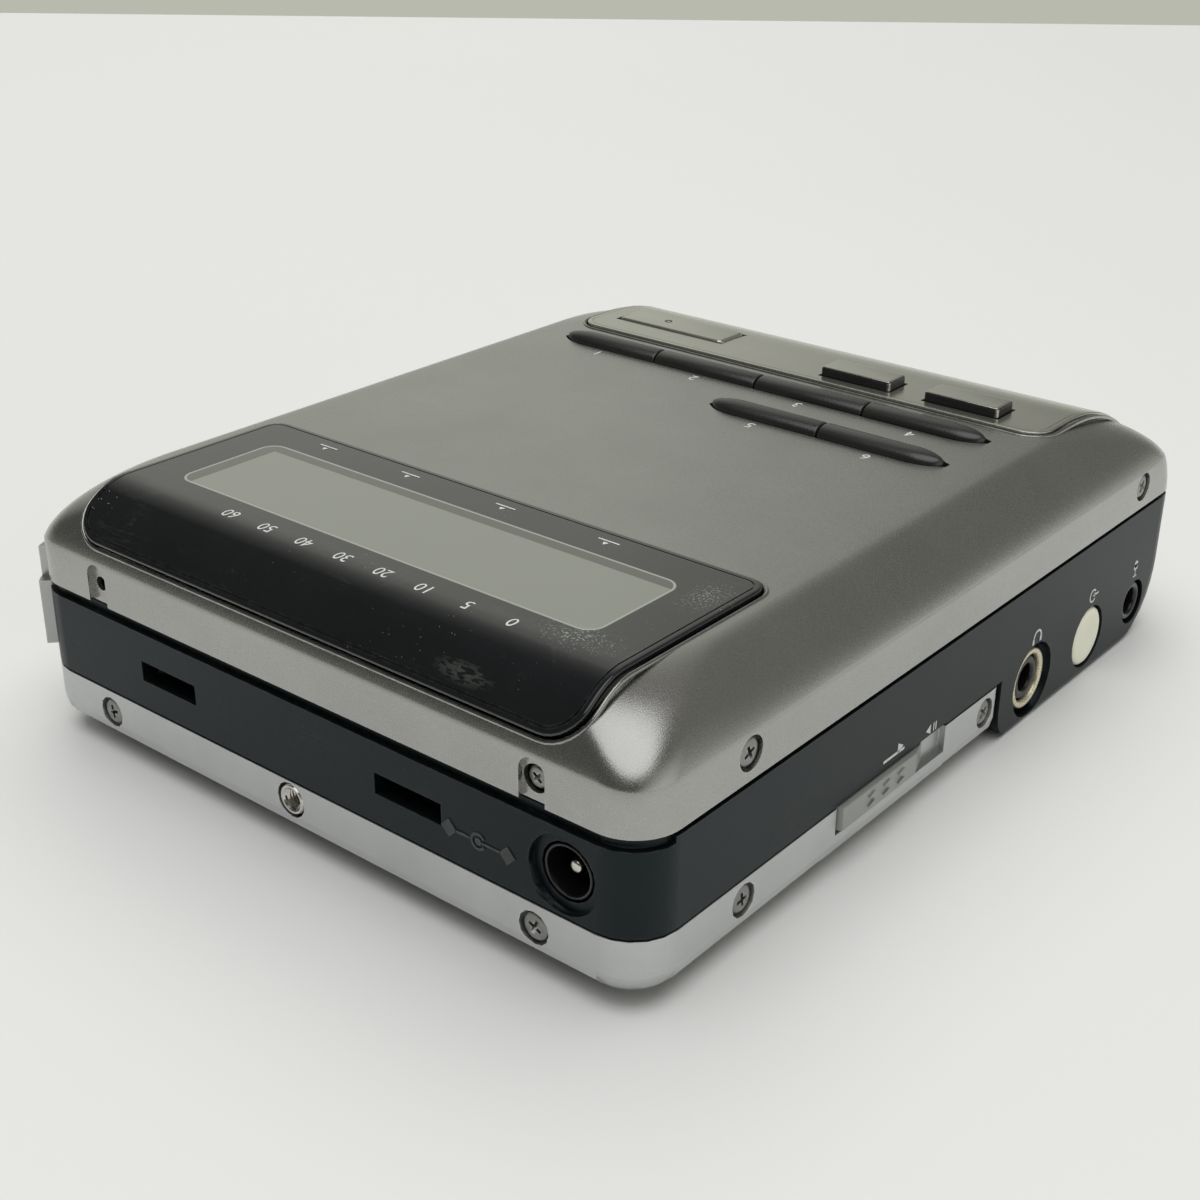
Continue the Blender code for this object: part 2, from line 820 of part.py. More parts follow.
def ridge_slot(name, row_y, start, end):
    loops = []
    for x in ridge_stops(start, end, end, start):
        half = ridge_half_depth * ridge_share(x, start, end) + fit_gap
        along = x + fit_gap * ((x > start - ridge_tip / 20) - (x < end + ridge_tip / 20))
        low, high = inner_top - overrun * 3, case_top + overrun
        loops.append([(along, row_y - half, low), (along, row_y + half, low),
                      (along, row_y + half, high), (along, row_y - half, high)])
    return loft(name, loops)


def ridge_key(name, row_y, start, end, low, high):
    """One key of a row: a ridge with a rounded crest, tapered where the row ends."""
    loops = []
    for x in ridge_stops(start, end, low, high):
        share = ridge_share(x, start, end)
        half = ridge_half_depth * share
        crest = case_top + ridge_shoulder + (ridge_rise - ridge_shoulder) * share
        edge = case_top + ridge_shoulder * share
        loops.append([(x, row_y - half, key_bottom), (x, row_y + half, key_bottom),
                      (x, row_y + half, edge), (x, row_y + half * ridge_crest_share, crest),
                      (x, row_y - half * ridge_crest_share, crest), (x, row_y - half, edge)])
    key = loft(name, loops, "black_key")
    return place_origin(key, ((low + high) / 2, row_y, key_bottom))


def make_ridge_keys():
    for name, row_y, start, end in ridge_rows():
        count = 4 if name == "edit_row" else 2
        pitch = (start - end) / count
        stem = name.replace("_row", "")
        for number in range(count):
            high = start - pitch * number - (key_spacing_gap / 2 if number else 0)
            low = start - pitch * (number + 1) + (key_spacing_gap / 2 if number < count - 1 else 0)
            ridge_key(f"key_{stem}_{number + 1}", row_y, start, end, low, high)


def slope_frame():
    """Point on the front slope where its keys sit, the slope's tangent and its normal."""
    turn = 0
    while nose_profile(turn)[1] > slope_key_height:
        turn += search_step
    y, z, ny, nz = nose_profile(turn)
    return Vector((0, y, z)), Vector((0, nz, -ny)), Vector((0, ny, nz))


def slope_block(name, x, half_length, half_depth_along, bottom, top, radius, finish_name=None):
    """A block with round corners that stands square to the front slope."""
    middle, along, normal = slope_frame()
    outline = ring(0, half_length, -half_depth_along, half_depth_along, radius)
    loops = []
    for height in (bottom, top):
        loops.append([Vector((x + point.x, 0, 0)) + middle + along * point.y + normal * height
                      for point in outline])
    return loft(name, loops, finish_name)


slope_names = ("key_forward", "key_back", "key_stop", "key_play")


def slope_key_places():
    first = panel_centre_x - slope_key_pitch * 3 / 2
    return [(name, first + slope_key_pitch * number) for number, name in enumerate(slope_names)]


def flat_key_places():
    """Name, centre, half length, near and far edge, rise of the keys on the panel's flat part."""
    places = [(name, x, bar_half_length, bar_near, bar_far, bar_rise)
              for name, x in zip(("key_record", "key_pause"), bar_centres)]
    places.append(("key_long", long_key_centre, long_key_half_length, long_key_near, long_key_far,
                   long_key_rise))
    return places


def make_panel():
    panel = skin_plate("transport_panel", panel_samples(), panel_centre_x, panel_half_width,
                       (panel_near_radius, panel_far_radius), panel_lift, panel_depth, 0, "metal_key")
    for name, x, half, near, far, rise in flat_key_places():
        cut(panel, box(name + "_opening", (x - half - fit_gap, far - fit_gap, key_bottom),
                       (x + half + fit_gap, near + fit_gap, case_top + overrun)))
        key = box(name, (x - half, far, key_bottom), (x + half, near, case_top + rise), "metal_key",
                  bar_bevel, None)
        place_origin(key, (x, (near + far) / 2, key_bottom))
    for name, x in slope_key_places():
        cut(panel, slope_block(name + "_opening", x, slope_key_half_length + fit_gap,
                               slope_key_half_width + fit_gap, -slope_key_depth, overrun,
                               slope_key_radius + fit_gap))
        key = slope_block(name, x, slope_key_half_length, slope_key_half_width, -slope_key_depth,
                          panel_lift + slope_key_rise, slope_key_radius, "metal_key")
        middle = slope_frame()[0]
        place_origin(key, (x, middle.y, middle.z))
    return panel


def make_bottom_cover():
    loops = []
    for step in range(4):
        angle = pi / 2 * step / 3
        inset = tray_edge_radius * (1 - sin(angle))
        z = tray_bottom + tray_edge_radius * (1 - cos(angle))
        loops.append(tray_ring(z, inset))
    loops.append(tray_ring(tray_top, 0))
    loops.append(tray_ring(tray_top, tray_wall))
    loops.append(tray_ring(tray_bottom + tray_floor, tray_wall))
    tray = loft("bottom_cover", loops, "tray")
    for number, (x, y) in enumerate(post_places, 1):
        base = tray_bottom + tray_floor / 2
        add(tray, rod(f"post_{number}", (x, y, base), (0, 0, 1), post_radius, post_top - base, None, 10))
    for side, x in foot_places():
        y = half_depth - foot_inset
        cut(tray, drill(f"foot_seat_{side}", (x, y, tray_bottom), (0, 0, 1), foot_radius + fit_gap,
                        foot_sink, 16))
        rod(f"foot_{side}", (x, y, 0), (0, 0, 1), foot_radius, tray_bottom + foot_sink - fit_gap,
            "rubber", 16)
    backing_low = (-half_width + tray_wall / 2, hold_front - tray_wall, tray_bottom + tray_floor / 2)
    backing_high = (-half_width + tray_wall * 2, hold_rear + tray_wall, tray_top)
    add(tray, box("hold_backing", backing_low, backing_high))
    cut(tray, hold_recess(), insert_cutter())
    cut(tray, *screw_cutters(lambda name: "lower" in name or "rear" in name))
    return tray


def tray_ring(z, inset):
    smallest = tray_edge_radius / 4
    return ring(z, half_width - inset, tray_front + inset, half_depth - inset,
                max(corner_radius - inset, smallest), max(tray_front_radius - inset, smallest))


def foot_places():
    x = half_width - foot_inset
    return (("left", -x), ("right", x))


def insert_cutter():
    return drill("insert_cut_" + str(len(bpy.data.objects)), (insert_x, half_depth, insert_z), (0, -1, 0),
                 insert_radius + fit_gap, insert_length + insert_sink + fit_gap, 16)


def hold_recess():
    return box("hold_recess_" + str(len(bpy.data.objects)), (-half_width - overrun, hold_front, hold_low),
               (-half_width + hold_recess_depth, hold_rear, frame_bottom + fit_gap / 2))


def frame_loops():
    heights = [0, housing_edge / 3, housing_edge]
    steps = 5
    rise = nose_lower_start - housing_edge
    heights += [housing_edge + rise * step / steps for step in range(1, steps + 1)]
    heights += [nose_upper_start, frame_top]
    loops = []
    for z in heights:
        sunk = max(housing_edge - z, 0)
        inset = housing_edge - sqrt(housing_edge ** 2 - sunk ** 2)
        loops.append(ring(z, half_width - inset, front_line(z) + inset, half_depth - inset, corner_radius))
    return loops


def tab_boxes():
    """Upright and hanging tabs inside the covers that the screws bite into."""
    tabs = []
    upper_in = half_width - cover_wall - fit_gap
    upper_rear = half_depth - cover_wall - fit_gap
    lower_in = half_width - tray_wall - fit_gap
    lower_rear = half_depth - tray_wall - fit_gap
    up = (frame_top - tab_root, frame_top + upper_tab_rise)
    down = (frame_bottom - lower_tab_drop, frame_bottom + tab_root)
    for y in upper_side_screws:
        tabs.append(((-upper_in, y - tab_half_width, up[0]),
                     (-upper_in + tab_thickness, y + tab_half_width, up[1])))
    for x in (-notch_x, notch_x):
        tabs.append(((x - tab_half_width, upper_rear - tab_thickness, up[0]),
                     (x + tab_half_width, upper_rear, up[1])))
    lower_tabs = [(-rear_lower_screw_x, tab_half_width), (rear_lower_screw_x, tab_half_width),
                  (insert_x, insert_tab_half_width)]
    for x, reach in lower_tabs:
        tabs.append(((x - reach, lower_rear - tab_thickness, down[0]), (x + reach, lower_rear, down[1])))
    rear_y = lower_side_screws[0]
    for side in (-1, 1):
        ends = sorted((side * lower_in, side * (lower_in - tab_thickness)))
        tabs.append(((ends[0], rear_y - tab_half_width, down[0]),
                     (ends[1], rear_y + tab_half_width, down[1])))
    return tabs


def make_mid_frame():
    frame = loft("mid_frame", frame_loops(), "frame")
    inner_left = -half_width + frame_wall
    inner_right = half_width - door_side_wall
    inner_rear = half_depth - frame_wall
    above = frame_top + overrun * 6
    cut(frame, under_cutter())
    cut(frame, box("rear_cavity", (inner_left, rear_cavity_front, frame_bottom - overrun),
                   (inner_right, inner_rear, above), None, corner_radius - frame_wall, 2))
    cut(frame, box("front_cavity", (inner_left, front_cavity_front, roof_top),
                   (inner_right, rear_cavity_front + corner_radius * 2, above), None,
                   corner_radius - frame_wall, 2))
    rib_rear = disc_y - holder_half_width() - fit_gap
    add(frame, box("guide_rib", (guide_rib_start, rib_rear - guide_rib_thickness, roof_top - overrun),
                   (guide_rib_end, rib_rear, roof_top + guide_rib_height)))
    for number, (low, high) in enumerate(tab_boxes(), 1):
        add(frame, box(f"tab_{number}", low, high))
    wall_out = half_width - door_depth - fit_gap * 2
    add(frame, box("door_wall", (inner_right, door_front + fit_gap, frame_top - overrun),
                   (wall_out, half_depth - corner_radius - overrun, door_top)))
    slot_half = holder_half_width() - holder_sheet
    cut(frame, box("disc_slot_cut", (inner_right - overrun, disc_y - slot_half, slot_bottom),
                   (half_width + overrun, disc_y + slot_half, slot_top)))
    cut_door_seat(frame)
    cut_housing(frame)
    cut_sockets(frame)
    for number, x in enumerate(rear_slot_centres, 1):
        slot_low = (x - rear_slot_half_width, inner_rear - overrun, rear_slot_bottom)
        slot_high = (x + rear_slot_half_width, half_depth + overrun, rear_slot_top)
        cut(frame, box(f"rear_slot_{number}", slot_low, slot_high))
    cut(frame, hold_recess(), insert_cutter())
    cut(frame, *screw_cutters(lambda name: True, head_room=False))
    return frame


def under_cutter():
    """Space under the frame's rear part, with the housing's rounded rear edge."""
    points = [(half_depth + overrun, frame_bottom), (housing_rear, frame_bottom)]
    for step in range(5):
        angle = pi / 2 * step / 4
        points.append((housing_rear - housing_rear_radius * (1 - cos(angle)),
                       housing_rear_radius * (1 - sin(angle))))
    points += [(housing_rear - housing_rear_radius, -overrun), (half_depth + overrun, -overrun)]
    return extruded("under_cut", points, 0, -half_width - overrun, half_width + overrun)


def cut_door_seat(frame):
    inner = -door_depth - fit_gap
    outer = door_stand_out + overrun
    front = door_front - fit_gap
    cut(frame, extruded("door_seat", side_band(inner, outer, door_wrap + radians(4), front), 2,
                        frame_bottom - overrun, frame_top + overrun * 5))
    x, z = door_axis()
    inset = overrun / 8
    lug = box("door_lug", (half_width - door_depth - overrun, door_lug_front + inset, door_bottom + inset),
              (x, door_lug_rear - inset, door_bottom + door_knuckle_radius * 2 - inset))
    nose = rod("door_lug_nose", (x, door_lug_front, z), (0, 1, 0), door_knuckle_radius,
               door_lug_rear - door_lug_front, None, round_steps)
    add(frame, lug, nose)
    start = door_front - fit_gap - door_pin_anchor
    cut(frame, rod("door_pin_hole", (x, start - fit_gap, z), (0, 1, 0), door_pin_radius + fit_gap,
                   door_lug_rear + overrun - start, None, round_steps))


def cut_housing(frame):
    cut(frame, box("battery_space", (battery_left - fit_gap, battery_front - fit_gap, -overrun),
                   (battery_right + fit_gap, battery_rear + fit_gap, battery_top + fit_gap)))
    cut(frame, box("lid_seat", (battery_left - lid_margin - fit_gap, -half_depth - overrun, -overrun),
                   (battery_right + lid_margin + fit_gap, battery_rear + lid_margin + fit_gap,
                    lid_thickness + fit_gap)))


def cut_sockets(frame):
    side = (-half_width, phones_y, jack_height)
    cut(frame, drill("phones_recess", side, (1, 0, 0), socket_recess_radius, socket_recess_depth, 20))
    cut(frame, drill("phones_hole", side, (1, 0, 0), barrel_radius + fit_gap, barrel_back + fit_gap, 16))
    side = (-half_width, line_y, jack_height)
    cut(frame, drill("line_hole", side, (1, 0, 0), plug_radius + fit_gap, plug_depth + fit_gap, 20))
    side = (-half_width, mic_y, jack_height)
    cut(frame, drill("mic_hole", side, (1, 0, 0), barrel_radius + fit_gap, barrel_back + fit_gap, 16))
    rear = (dc_x, half_depth, dc_z)
    cut(frame, drill("dc_recess", rear, (0, -1, 0), dc_recess_radius, dc_recess_depth, 24))
    cut(frame, drill("dc_hole", rear, (0, -1, 0), dc_barrel_radius + fit_gap, dc_back, 16))


def barrel(name, skin, way, radius, bore, sink, back, floor, finish_name):
    """A socket's body: a tube with a closed back."""
    profile = ((radius, back), (radius, sink), (bore, sink), (bore, back - floor))
    return turned(name, skin, way, profile, finish_name, 16)


def make_sockets():
    left = (1, 0, 0)
    barrel("phones_jack", (-half_width, phones_y, jack_height), left, barrel_radius, barrel_bore,
           barrel_sink, barrel_back, barrel_floor, "black_socket")
    ring_back = socket_recess_depth - fit_gap
    turned("phones_ring", (-half_width, phones_y, jack_height), left,
           ((ring_radius, ring_sink), (ring_bore, ring_sink),
            (ring_bore, ring_back), (ring_radius, ring_back)),
           "gold", 20, endless=True)
    turned("line_jack_plug", (-half_width, line_y, jack_height), left,
           ((plug_radius / 3, plug_crown / 3), (plug_radius - plug_crown, 0), (plug_radius, plug_crown),
            (plug_radius, plug_depth)), "cream", 20)
    barrel("mic_jack", (-half_width, mic_y, jack_height), left, barrel_radius, barrel_bore, mic_sink,
           barrel_back, barrel_floor, "black_socket")
    rear = (dc_x, half_depth, dc_z)
    barrel("dc_jack", rear, (0, -1, 0), dc_barrel_radius, dc_barrel_bore, dc_recess_depth, dc_back,
           barrel_floor, "black_socket")
    pin_back = dc_back - barrel_floor - fit_gap
    turned("dc_pin", rear, (0, -1, 0), ((dc_pin_radius / 2, dc_pin_sink),
                                        (dc_pin_radius, dc_pin_sink + dc_pin_radius / 2),
                                        (dc_pin_radius, pin_back)), "steel")
    tube = ((insert_radius, insert_sink), (insert_bore, insert_sink),
            (insert_bore, insert_length), (insert_radius, insert_length))
    turned("rear_insert", (insert_x, half_depth, insert_z), (0, -1, 0), tube, "steel", 16, endless=True)


def make_hold_slider():
    rear = hold_rear - fit_gap
    front = rear - hold_knob_length
    face = -half_width - hold_knob_proud
    back = -half_width + hold_recess_depth - fit_gap
    outline = [(back, rear), (back, front), (face, front + hold_end_slope), (face, rear - hold_end_slope / 2)]
    knob = extruded("hold_slider", outline, 2, hold_knob_low, hold_knob_high, "tray")
    middle = (rear + front) / 2
    for number in (-1, 0, 1):
        y = middle + hold_rib_pitch * number
        rib = box(f"hold_rib_{number + 2}", (-half_width - hold_rib_proud, y - hold_rib_width / 2,
                                             hold_knob_low + hold_rib_width / 2),
                  (back - overrun / 4, y + hold_rib_width / 2, hold_knob_high - hold_rib_width / 2))
        add(knob, rib)
    return place_origin(knob, (-half_width, middle, (hold_knob_low + hold_knob_high) / 2))


def make_disc_door():
    lower = side_band(-door_depth, door_stand_out, door_wrap, door_front)
    upper = side_band(-door_depth, door_stand_out, door_upper_wrap, door_front)
    x, z = door_axis()
    door = extruded("disc_door", lower, 2, z + door_edge_rise, door_lower_top, "door")
    add(door, extruded("door_upper", upper, 2, door_lower_top - overrun, door_top))
    knuckle_end = half_depth - corner_radius
    add(door, rod("door_knuckle", (x, door_front, z), (0, 1, 0), door_knuckle_radius,
                  knuckle_end - door_front, None, round_steps))
    add(door, box("door_neck", (x - door_knuckle_radius + overrun / 8, door_front + overrun / 8, z),
                  (x + door_knuckle_radius - overrun / 8, knuckle_end - overrun / 8,
                   z + door_edge_rise + overrun / 4)))
    inside = half_width + door_stand_out - door_skin
    hollow_low = z + door_knuckle_radius + fit_gap
    cut(door, box("door_hollow", (half_width - door_depth - overrun, door_front + door_skin, hollow_low),
                  (inside, knuckle_end - overrun, door_top - door_skin)))
    room = door_knuckle_radius * 2
    cut(door, box("door_lug_room", (x - room, door_lug_front - fit_gap, door_bottom - overrun),
                  (x + room, door_lug_rear + fit_gap, door_bottom + room + fit_gap)))
    cut(door, rod("door_bore", (x, door_front - overrun, z), (0, 1, 0), door_pin_radius + fit_gap,
                  door_lug_rear + overrun - door_front + overrun, None, round_steps))
    place_origin(door, (x, 0, z))
    start = door_front - fit_gap - door_pin_anchor
    rod("door_pin", (x, start, z), (0, 1, 0), door_pin_radius, door_lug_rear - start, "steel", round_steps)
    return door


def make_battery():
    lid_rear = battery_rear + lid_margin
    steps = 4
    heights = [lid_thickness * step / steps for step in range(steps + 1)]
    outline = [(front_line(z), z) for z in heights] + [(lid_rear, lid_thickness), (lid_rear, 0)]
    lid = extruded("battery_lid", outline, 0, battery_left - lid_margin, battery_right + lid_margin, "frame")
    grip_x = (battery_left + battery_right) / 2
    for number in range(3):
        y = lid_rear - lid_margin * (2 + number)
        cut(lid, box(f"lid_groove_{number + 1}", (grip_x - tab_half_width * 2, y - fit_gap, -overrun),
                     (grip_x + tab_half_width * 2, y + fit_gap, lid_thickness / 3)))
    place_origin(lid, (grip_x, lid_rear, 0))
    box("battery_pack", (battery_left, battery_front + contact_thickness + fit_gap, lid_thickness + fit_gap),
        (battery_right, battery_rear, battery_top), "cell", battery_edge, 0)
    for side, x in (("left", battery_left + contact_inset), ("right", battery_right - contact_inset)):
        middle = (lid_thickness + battery_top) / 2
        box(f"battery_contact_{side}", (x - contact_width / 2, battery_front, middle - contact_height / 2),
            (x + contact_width / 2, battery_front + contact_thickness, middle + contact_height / 2), "gold")


def holder_half_width():
    return cartridge_width / 2 + holder_side_play + holder_sheet


def make_disc_holder():
    half = holder_half_width()
    inner_end = disc_x - cartridge_length / 2 - holder_sheet - fit_gap
    mouth = half_width - door_side_wall - fit_gap
    top = holder_bottom + holder_height
    holder = box("disc_holder", (inner_end, disc_y - half, holder_bottom),
                 (mouth, disc_y + half, top), "sheet")
    space_low = (inner_end + holder_sheet, disc_y - half + holder_sheet, holder_bottom + holder_sheet)
    cut(holder, box("holder_space", space_low,
                    (mouth + overrun, disc_y + half - holder_sheet, top - holder_sheet)))
    cut(holder, rod("hub_window", (disc_x, disc_y, holder_bottom - overrun), (0, 0, 1),
                    turntable_radius + overrun * 2, overrun + holder_sheet * 2, None, 20))
    reach = tongue_half_width + overrun * 2
    cut(holder, box("pickup_window", (disc_x - reach, disc_y, holder_bottom - overrun),
                    (disc_x + reach, disc_y + half + overrun, holder_bottom + holder_sheet * 2)))
    cut(holder, box("head_window", (disc_x - reach, arm_tip - overrun, top - holder_sheet * 2),
                    (disc_x + reach, disc_y + half + overrun, top + overrun)))
    return place_origin(holder, (disc_x, disc_y, holder_bottom))


def make_chassis():
    plate_top = chassis_bottom + chassis_thickness
    chassis = box("mech_chassis", (chassis_left, chassis_front, chassis_bottom),
                  (chassis_right, chassis_rear, plate_top), "sheet", chassis_thickness * 2, 2)
    guide = disc_y + holder_half_width() + fit_gap
    for number, (start, end) in enumerate(flange_spans, 1):
        add(chassis, box(f"flange_{number}", (start, guide, chassis_bottom + chassis_thickness / 2),
                         (end, guide + chassis_thickness, flange_top)))
    for x in (disc_x - rod_offset, disc_x + rod_offset, disc_x + screw_offset):
        for y in (ear_front, ear_rear):
            if x == disc_x + screw_offset and y == ear_front:
                continue
            foot = chassis_bottom + chassis_thickness / 2
            ear = box(f"ear_{len(chassis.modifiers)}", (x - ear_half_width, y, foot),
                      (x + ear_half_width, y + ear_thickness, ear_top + rod_radius))
            add(chassis, ear)
    for x in (disc_x - rod_offset, disc_x + rod_offset):
        hole = f"rod_hole_{len(chassis.modifiers)}"
        cut(chassis, rod(hole, (x, ear_front - overrun, rod_height), (0, 1, 0), rod_radius + fit_gap,
                         ear_rear - ear_front + overrun * 3))
    cut(chassis, rod("screw_hole", (disc_x + screw_offset, screw_front, screw_height), (0, 1, 0),
                     screw_radius + fit_gap, ear_rear - screw_front + overrun * 3))
    return chassis


def make_drive():
    turned("spindle_motor", (disc_x, disc_y, 0), (0, 0, 1),
           ((motor_radius, motor_bottom), (motor_radius, motor_top), (shaft_radius + fit_gap, motor_top),
            (shaft_radius + fit_gap, motor_bottom)), "steel", 24, endless=True)
    flange_low = motor_top + fit_gap
    turned_profile = ((shaft_radius, motor_bottom + fit_gap), (shaft_radius, flange_low),
                      (turntable_radius, flange_low), (turntable_radius, flange_low + turntable_flange),
                      (magnet_radius, flange_low + turntable_flange), (magnet_radius, magnet_top),
                      (hub_radius, magnet_top), (hub_tip_radius, hub_top))
    turntable = turned("turntable", (disc_x, disc_y, 0), (0, 0, 1), turned_profile, "black_key", 24)
    place_origin(turntable, (disc_x, disc_y, motor_top))
    for side, x in (("left", disc_x - rod_offset), ("right", disc_x + rod_offset)):
        rod(f"guide_rod_{side}", (x, ear_front, rod_height), (0, 1, 0), rod_radius,
            ear_rear + ear_thickness - ear_front, "steel")
    x = disc_x + screw_offset
    screw = rod("lead_screw", (x, screw_front, screw_height), (0, 1, 0), screw_radius,
                ear_rear + ear_thickness - screw_front, "steel")
    place_origin(screw, (x, screw_front, screw_height))
    rod("sled_motor", (x, sled_motor_front, screw_height), (0, 1, 0), sled_motor_radius,
        screw_front - fit_gap - sled_motor_front, "steel", 16)


def make_sled():
    sled = box("pickup_sled", (disc_x - sled_half_width, sled_front, sled_bottom),
               (disc_x + sled_half_width, sled_rear, sled_top), "black_key")
    add(sled, box("sled_tongue", (disc_x - tongue_half_width, sled_rear - overrun, sled_bottom),
                  (disc_x + tongue_half_width, tongue_end, tongue_top)))
    nut_tip = disc_x + screw_offset - screw_radius - fit_gap
    add(sled, box("sled_nut", (disc_x + sled_half_width - overrun, nut_front, screw_height - nut_half_height),
                  (nut_tip, nut_rear, screw_height + nut_half_height)))
    for x in (disc_x - rod_offset, disc_x + rod_offset):
        cut(sled, rod(f"sled_bore_{len(sled.modifiers)}", (x, sled_front - overrun, rod_height), (0, 1, 0),
                      rod_radius + fit_gap, sled_rear - sled_front + overrun * 2))
    place_origin(sled, (disc_x, sled_front, rod_height))
    turned("objective_lens", (disc_x, objective_y, 0), (0, 0, 1),
           ((objective_radius, sled_top + fit_gap), (objective_radius, (sled_top + objective_top) / 2),
            (objective_radius / 2, objective_top)), "glass", 14)
    foot = tongue_top + arm_bottom_clear
    outline = [(tongue_end - arm_upright, foot), (tongue_end, foot),
               (tongue_end, arm_under + arm_thickness), (arm_tip, arm_under + arm_thickness),
               (arm_tip, head_bottom), (head_end, head_bottom), (head_end, arm_under),
               (tongue_end - arm_upright, arm_under)]
    arm = extruded("head_arm", outline, 0, disc_x - tongue_half_width, disc_x + tongue_half_width, "sheet")
    place_origin(arm, (disc_x, tongue_end, tongue_top))


def make_main_board():
    margin = tray_wall + tab_thickness + fit_gap * 2
    bottom = tray_bottom + tray_floor + fit_gap
    board = box("main_board", (-half_width + margin, tray_front + tray_wall + fit_gap, bottom),
                (half_width - margin, half_depth - margin, bottom + board_thickness), "board")
    for number, (x, y) in enumerate(post_places, 1):
        cut(board, drill(f"board_hole_{number}", (x, y, bottom), (0, 0, 1), post_radius + fit_gap,
                         board_thickness + overrun))
    return board


def centre_on_origin():
    """The door's wrapped edge stands out behind the case, so the whole moves forward by half of that."""
    overhang = (corner_radius + door_stand_out) * sin(door_wrap) - corner_radius
    for item in bpy.data.objects:
        item.location.y -= overhang / 2


clear_scene()
materials = make_materials()
make_top_cover()
make_lens()
make_control_board()
make_ridge_keys()
make_panel()
make_bottom_cover()
make_mid_frame()
make_disc_door()
make_sockets()
make_hold_slider()
make_screws()
make_battery()
make_disc_holder()
make_chassis()
make_drive()
make_sled()
make_main_board()
centre_on_origin()
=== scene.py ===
import bpy
import bmesh
from math import cos, hypot, pi, radians, sin, sqrt
from mathutils import Matrix, Vector


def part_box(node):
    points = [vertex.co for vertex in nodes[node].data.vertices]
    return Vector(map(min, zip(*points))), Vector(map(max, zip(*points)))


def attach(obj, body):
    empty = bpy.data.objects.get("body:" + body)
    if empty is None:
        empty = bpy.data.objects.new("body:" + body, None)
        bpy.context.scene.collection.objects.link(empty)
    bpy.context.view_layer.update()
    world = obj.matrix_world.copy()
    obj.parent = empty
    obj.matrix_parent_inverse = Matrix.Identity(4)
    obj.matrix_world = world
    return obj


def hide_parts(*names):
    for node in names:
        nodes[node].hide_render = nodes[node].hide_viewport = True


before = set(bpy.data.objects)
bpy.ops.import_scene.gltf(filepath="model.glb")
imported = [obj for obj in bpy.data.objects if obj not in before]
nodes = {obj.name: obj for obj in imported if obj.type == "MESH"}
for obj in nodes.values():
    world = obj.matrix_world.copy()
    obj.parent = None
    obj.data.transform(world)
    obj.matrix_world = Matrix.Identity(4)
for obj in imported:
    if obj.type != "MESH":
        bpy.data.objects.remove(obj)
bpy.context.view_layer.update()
print("frame loaded, nodes:", len(nodes))

# The case's own measures in metres, the same as the solids have. Only the power and the end of the shoulder
# (the end in radians) are the skin's own
caseShape = {
    "width": 0.0968,
    "depth": 0.1236,
    "top": 0.0332,
    "bandTop": 0.0258,
    "coverBottom": 0.0206,
    "wall": 0.0013,
    "cornerRadius": 0.0058,
    "topCornerRadius": 0.0130,
    "shoulderSide": 0.0078,
    "shoulderRear": 0.0085,
    "shoulderPower": 1.7,
    "shoulderEnd": 1.257,
    "noseStart": 0.0200,
    "noseReach": 0.0218,
    "gap": 0.0003,
}
halfWidth = caseShape["width"] / 2
halfDepth = caseShape["depth"] / 2
caseTop = caseShape["top"]
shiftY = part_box("top_cover")[1].y - halfDepth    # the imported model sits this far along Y
clear = 0.001    # a cutter stands this far out of the skin it cuts


def shoulderAt(share):
    # shares outward and upward, then the normal, of a shoulder from its flat top (0) to its edge over the
    # band (1): leaner than an ellipse, and it stops short of upright so that this edge is crisp
    power = 2 / caseShape["shoulderPower"]
    last = caseShape["shoulderEnd"]
    turn = last * min(max(share, 0.0), 1.0)
    full, low = sin(last) ** power, cos(last) ** power
    outward, upward = sin(turn) ** power / full, (cos(turn) ** power - low) / (1 - low)
    return outward, upward, sin(turn) ** (2 - power) * full, cos(turn) ** (2 - power) * (1 - low)


# helpers for nodes

def addNode(tree, kind, **settings):
    node = tree.nodes.new(kind)
    for key, value in settings.items():
        setattr(node, key, value)
    return node


def put(tree, source, target):
    # a number, colour or socket goes into a socket
    if isinstance(source, bpy.types.NodeSocket):
        tree.links.new(source, target)
    else:
        target.default_value = source


def doMath(tree, operation, first, second=0.0, clamp=False):
    node = addNode(tree, "ShaderNodeMath", operation=operation, use_clamp=clamp)
    put(tree, first, node.inputs[0])
    put(tree, second, node.inputs[1])
    return node.outputs[0]


def mixColour(tree, share, first, second):
    node = addNode(tree, "ShaderNodeMix", data_type="RGBA")
    put(tree, share, node.inputs[0])
    put(tree, first, node.inputs[6])
    put(tree, second, node.inputs[7])
    return node.outputs[2]


def remap(tree, value, low, high, toLow=0.0, toHigh=1.0):
    node = addNode(tree, "ShaderNodeMapRange")
    for socket, item in zip(node.inputs, (value, low, high, toLow, toHigh)):
        put(tree, item, socket)
    return node.outputs[0]


def objectPlace(tree, scale=(1, 1, 1)):
    coordinates = addNode(tree, "ShaderNodeTexCoord")
    mapping = addNode(tree, "ShaderNodeMapping")
    mapping.inputs["Scale"].default_value = scale
    tree.links.new(coordinates.outputs["Object"], mapping.inputs["Vector"])
    return mapping.outputs[0]


def cloud(tree, scale, detail=2.0, stretch=(1, 1, 1), roughness=0.5):
    # fractal noise over the piece's own coordinates
    noise = addNode(tree, "ShaderNodeTexNoise")
    noise.inputs["Detail"].default_value = detail
    noise.inputs["Roughness"].default_value = roughness
    tree.links.new(objectPlace(tree, stretch), noise.inputs["Vector"])
    put(tree, scale, noise.inputs["Scale"])
    return noise.outputs[0]


